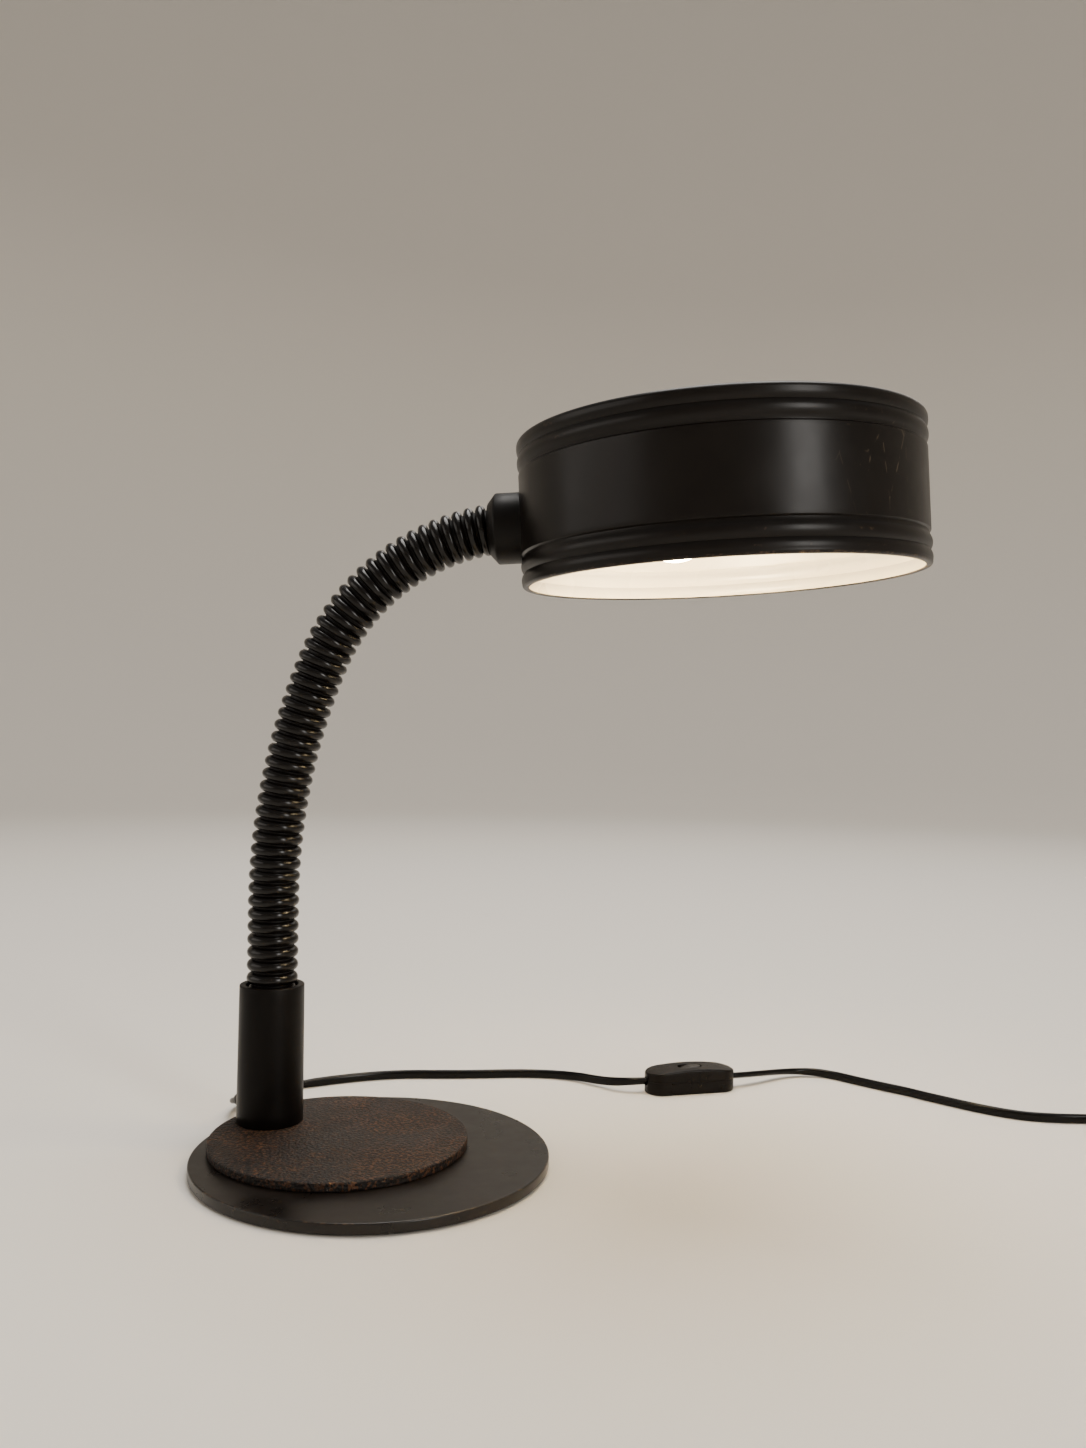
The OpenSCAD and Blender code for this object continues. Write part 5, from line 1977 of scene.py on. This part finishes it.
@dataclass
class Plug:
    """The moulded plug with its relief and pins, and the tie round the coil."""

    length: float = 36.0
    width: float = 27.0
    tail_w: float = 15.0
    steps: int = 14
    relief_l: float = 26.0
    relief_w: float = 7.0
    joined_w: float = 10.6
    ridges: int = 7
    ridge_steps: int = 6
    groove: float = 0.55
    section_points: int = 48
    pin_d: float = 4.0
    pin_l: float = 19.0
    pin_spacing: float = 19.0
    pin_tip: float = 1.6
    pin_sleeve: float = 0.25
    tie_turn: float = 215.0
    tie_w: float = 9.0
    tie_t: float = 1.0
    tie_play: float = 0.02
    tie_lift: float = 0.05

    @property
    def place(self) -> Matrix:
        """Place of the relief's tip at half the plug's height, with +X to the pins."""
        return shift(*FLEX.plug_at, FLEX.plug_h / 2) @ turn("Z", -90)

    def build(self, shop: Workshop) -> list[Piece]:
        """Make the plug, its pins and the tie."""
        return [self._body(shop), self._pins(shop), self._tie(shop)]

    def _section(self, x: float, wide: float, high: float, bend: float) -> list[Vector]:
        """Return a section of the plug, between an oval and a box."""
        ring = []
        for k in range(self.section_points):
            a = math.tau * k / self.section_points
            c, s = math.cos(a), math.sin(a)
            y = wide / 2 * math.copysign(abs(c) ** bend, c)
            z = high / 2 * math.copysign(abs(s) ** bend, s)
            ring.append(self.place @ Vector((x, y, z)))
        return ring

    def _body(self, shop: Workshop) -> Piece:
        """Make the moulded body and its ridged relief."""
        rings = []
        joined, count = self.joined_w, self.ridges * self.ridge_steps
        for i in range(count + 1):
            share = i / count
            wide = self.relief_w + (joined - self.relief_w) * share
            if i % self.ridge_steps in (3, 4) and 0.05 < share < 0.95:
                wide -= 2 * self.groove
            rings.append(self._section(self.relief_l * share, wide, wide, 1.0))
        for i in range(1, self.steps + 1):
            share = i / self.steps
            x = self.relief_l + self.length * share
            body = smooth(share / 0.22)
            flare = self.tail_w + (self.width - self.tail_w) * min(1.0, share / 0.6)
            wide = joined + (flare - joined) * body
            high = joined + (FLEX.plug_h - joined) * body
            ease = 0.8 * smooth((share - 0.93) / 0.07)
            rings.append(self._section(x, wide - ease, high - ease, 1.0 - 0.62 * body))
        shell = Shell().stack(rings).caps(rings)
        piece = shell.build("plug_moulded", [shop.paint(Paints.CORD)], 45)
        return keep(piece, "base", "cord_black", "plug_body")

    def _pins(self, shop: Workshop) -> Piece:
        """Make both pins with their sleeves and round tips."""
        radius, start = self.pin_d / 2, self.relief_l + self.length
        shell = Shell()
        for side in (-1, 1):
            place = self.place @ shift(start, side * self.pin_spacing / 2, 0) @ turn("Y", 90)
            bare, tip = radius - self.pin_sleeve, self.pin_tip
            outline = [(0.0, 0.0), (radius, 0.0), (radius, 10.0), (bare, 10.3), (bare, 16.0)]
            outline += arc_points(0, self.pin_l - tip, tip, 0, 90, 5)[:-1]
            outline.append((0.0, self.pin_l))
            finishes = [0 if i < 3 else 1 for i in range(len(outline))]
            shell.lathe(outline, 32, place, finishes=finishes)
        materials = [shop.paint(Paints.CORD), shop.paint(Paints.BRASS)]
        pins = shell.build("plug_pins_sleeved", materials, 50)
        return keep(pins, "base", "brass", "plug_pins")

    def _tie(self, shop: Workshop) -> Piece:
        """Make the tie as a band with round corners round all the turns."""
        wide, high = FLEX.width * FLEX.columns, FLEX.thickness * 2
        play, thick = self.tie_play, 2 * self.tie_t
        inside = pill_ring(wide + play, high + play, 1.0, 12)
        outside = pill_ring(wide + thick, high + thick, 1.7, 12)
        middle = shift(FLEX.coil_d / 2, 0, FLEX.thickness)
        place = shift(*FLEX.coil_at, 0) @ turn("Z", self.tie_turn) @ middle
        half, floor = self.tie_w / 2, self.tie_lift - FLEX.thickness
        rings = []
        for flat, y in ((inside, -half), (outside, -half), (outside, half), (inside, half)):
            rings.append([place @ Vector((x, y, max(z, floor))) for x, z in flat])
        shell = Shell().stack(rings, closed=True)
        tie = shell.build("cord_tie_band", [shop.paint(Paints.CORD)], 50)
        return keep(tie, "base", "cord_black", "cord_tie")


# ---- Studio ----


@dataclass(frozen=True)
class Softbox:
    """A square light that looks at the lamp."""

    name: str
    place: tuple[float, float, float]
    size: tuple[float, float]
    power: float
    colour: Colour = (1.0, 0.97, 0.93)

    def build(self, target: Vector) -> None:
        """Make the light, turned to a target."""
        data = bpy.data.lights.new(self.name, "AREA")
        data.shape = "RECTANGLE"
        data.size, data.size_y = self.size
        data.energy = self.power
        data.color = self.colour
        light = bpy.data.objects.new(self.name, data)
        bpy.context.scene.collection.objects.link(light)
        light.location = self.place
        light.rotation_mode = "QUATERNION"
        light.rotation_quaternion = (target - Vector(self.place)).to_track_quat("-Z", "Y")


@dataclass
class Studio:
    """A pale floor that sweeps up all round, and soft lights."""

    floor_r: float = 2.6
    sweep_r: float = 1.4
    wall_h: float = 3.2
    floor: Colour = (0.70, 0.66, 0.60)
    floor_rough: float = 0.8
    sky: float = 0.36
    sky_colour: Colour = (1.0, 0.96, 0.91)
    target: tuple[float, float, float] = (0.08, 0.02, 0.2)
    lights: tuple[Softbox, ...] = (
        Softbox("key", (1.55, -1.55, 0.75), (0.42, 1.3), 27.0),
        Softbox("fill", (-2.1, -0.75, 0.95), (2.3, 1.2), 15.0, (1.0, 0.95, 0.90)),
        Softbox("top", (0.3, 0.5, 2.6), (1.6, 1.6), 74.0),
        Softbox("back", (0.6, 2.0, 1.6), (1.6, 0.8), 6.0),
    )

    def build(self) -> None:
        """Make the floor, the lights and the surroundings."""
        outline = [(0.0, 0.0)] + [(self.floor_r * i / 6, 0.0) for i in range(1, 7)]
        outline += [
            (self.floor_r + self.sweep_r * math.sin(a), self.sweep_r * (1 - math.cos(a)))
            for a in (math.pi / 2 * i / 12 for i in range(1, 13))
        ]
        outline.append((self.floor_r + self.sweep_r, self.wall_h))
        shell = Shell().lathe([(r / MM, z / MM) for r, z in outline], 96)
        floor = shell.build("floor", [self._floor_material()], 60)
        floor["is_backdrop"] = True
        world = bpy.data.worlds.new("studio")
        bpy.context.scene.world = world
        world.use_nodes = True
        back = world.node_tree.nodes["Background"]
        back.inputs["Color"].default_value = (*self.sky_colour, 1.0)
        back.inputs["Strength"].default_value = self.sky
        for light in self.lights:
            light.build(Vector(self.target))

    def _floor_material(self) -> bpy.types.Material:
        """Return the floor's matt paint."""
        made = bpy.data.materials.new("floor_matt")
        made.use_nodes = True
        shader = made.node_tree.nodes["Principled BSDF"]
        shader.inputs["Base Color"].default_value = (*self.floor, 1.0)
        shader.inputs["Roughness"].default_value = self.floor_rough
        return made


# ---- The lamp ----


def write_sizes() -> None:
    """Gather the box of the solids and the box of the dressed lamp, and keep neither."""
    boxes = {"cad": cad_box, "visual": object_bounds()}
    plain = {name: [list(corner) for corner in box] for name, box in boxes.items()}


def main() -> None:
    """Build the camera, the cords, every sub-assembly and the studio."""
    logging.basicConfig(level=logging.INFO, format="%(name)s: %(message)s")
    Viewpoint().build()
    shop = Workshop(Effects())
    cords = Cords()
    flex = cords.build(shop)
    switch = Switch().build(shop)
    plug = Plug().build(shop)
    cords.declare(flex, switch, plug)
    for part in (Base(), Stem(), Neck(), Head()):
        for piece in part.build(shop):
            log.info("%s", piece.name)
    log.info("shade: %s", Shade().build(shop).name)
    Studio().build()
    write_sizes()


if __name__ == "__main__":
    main()
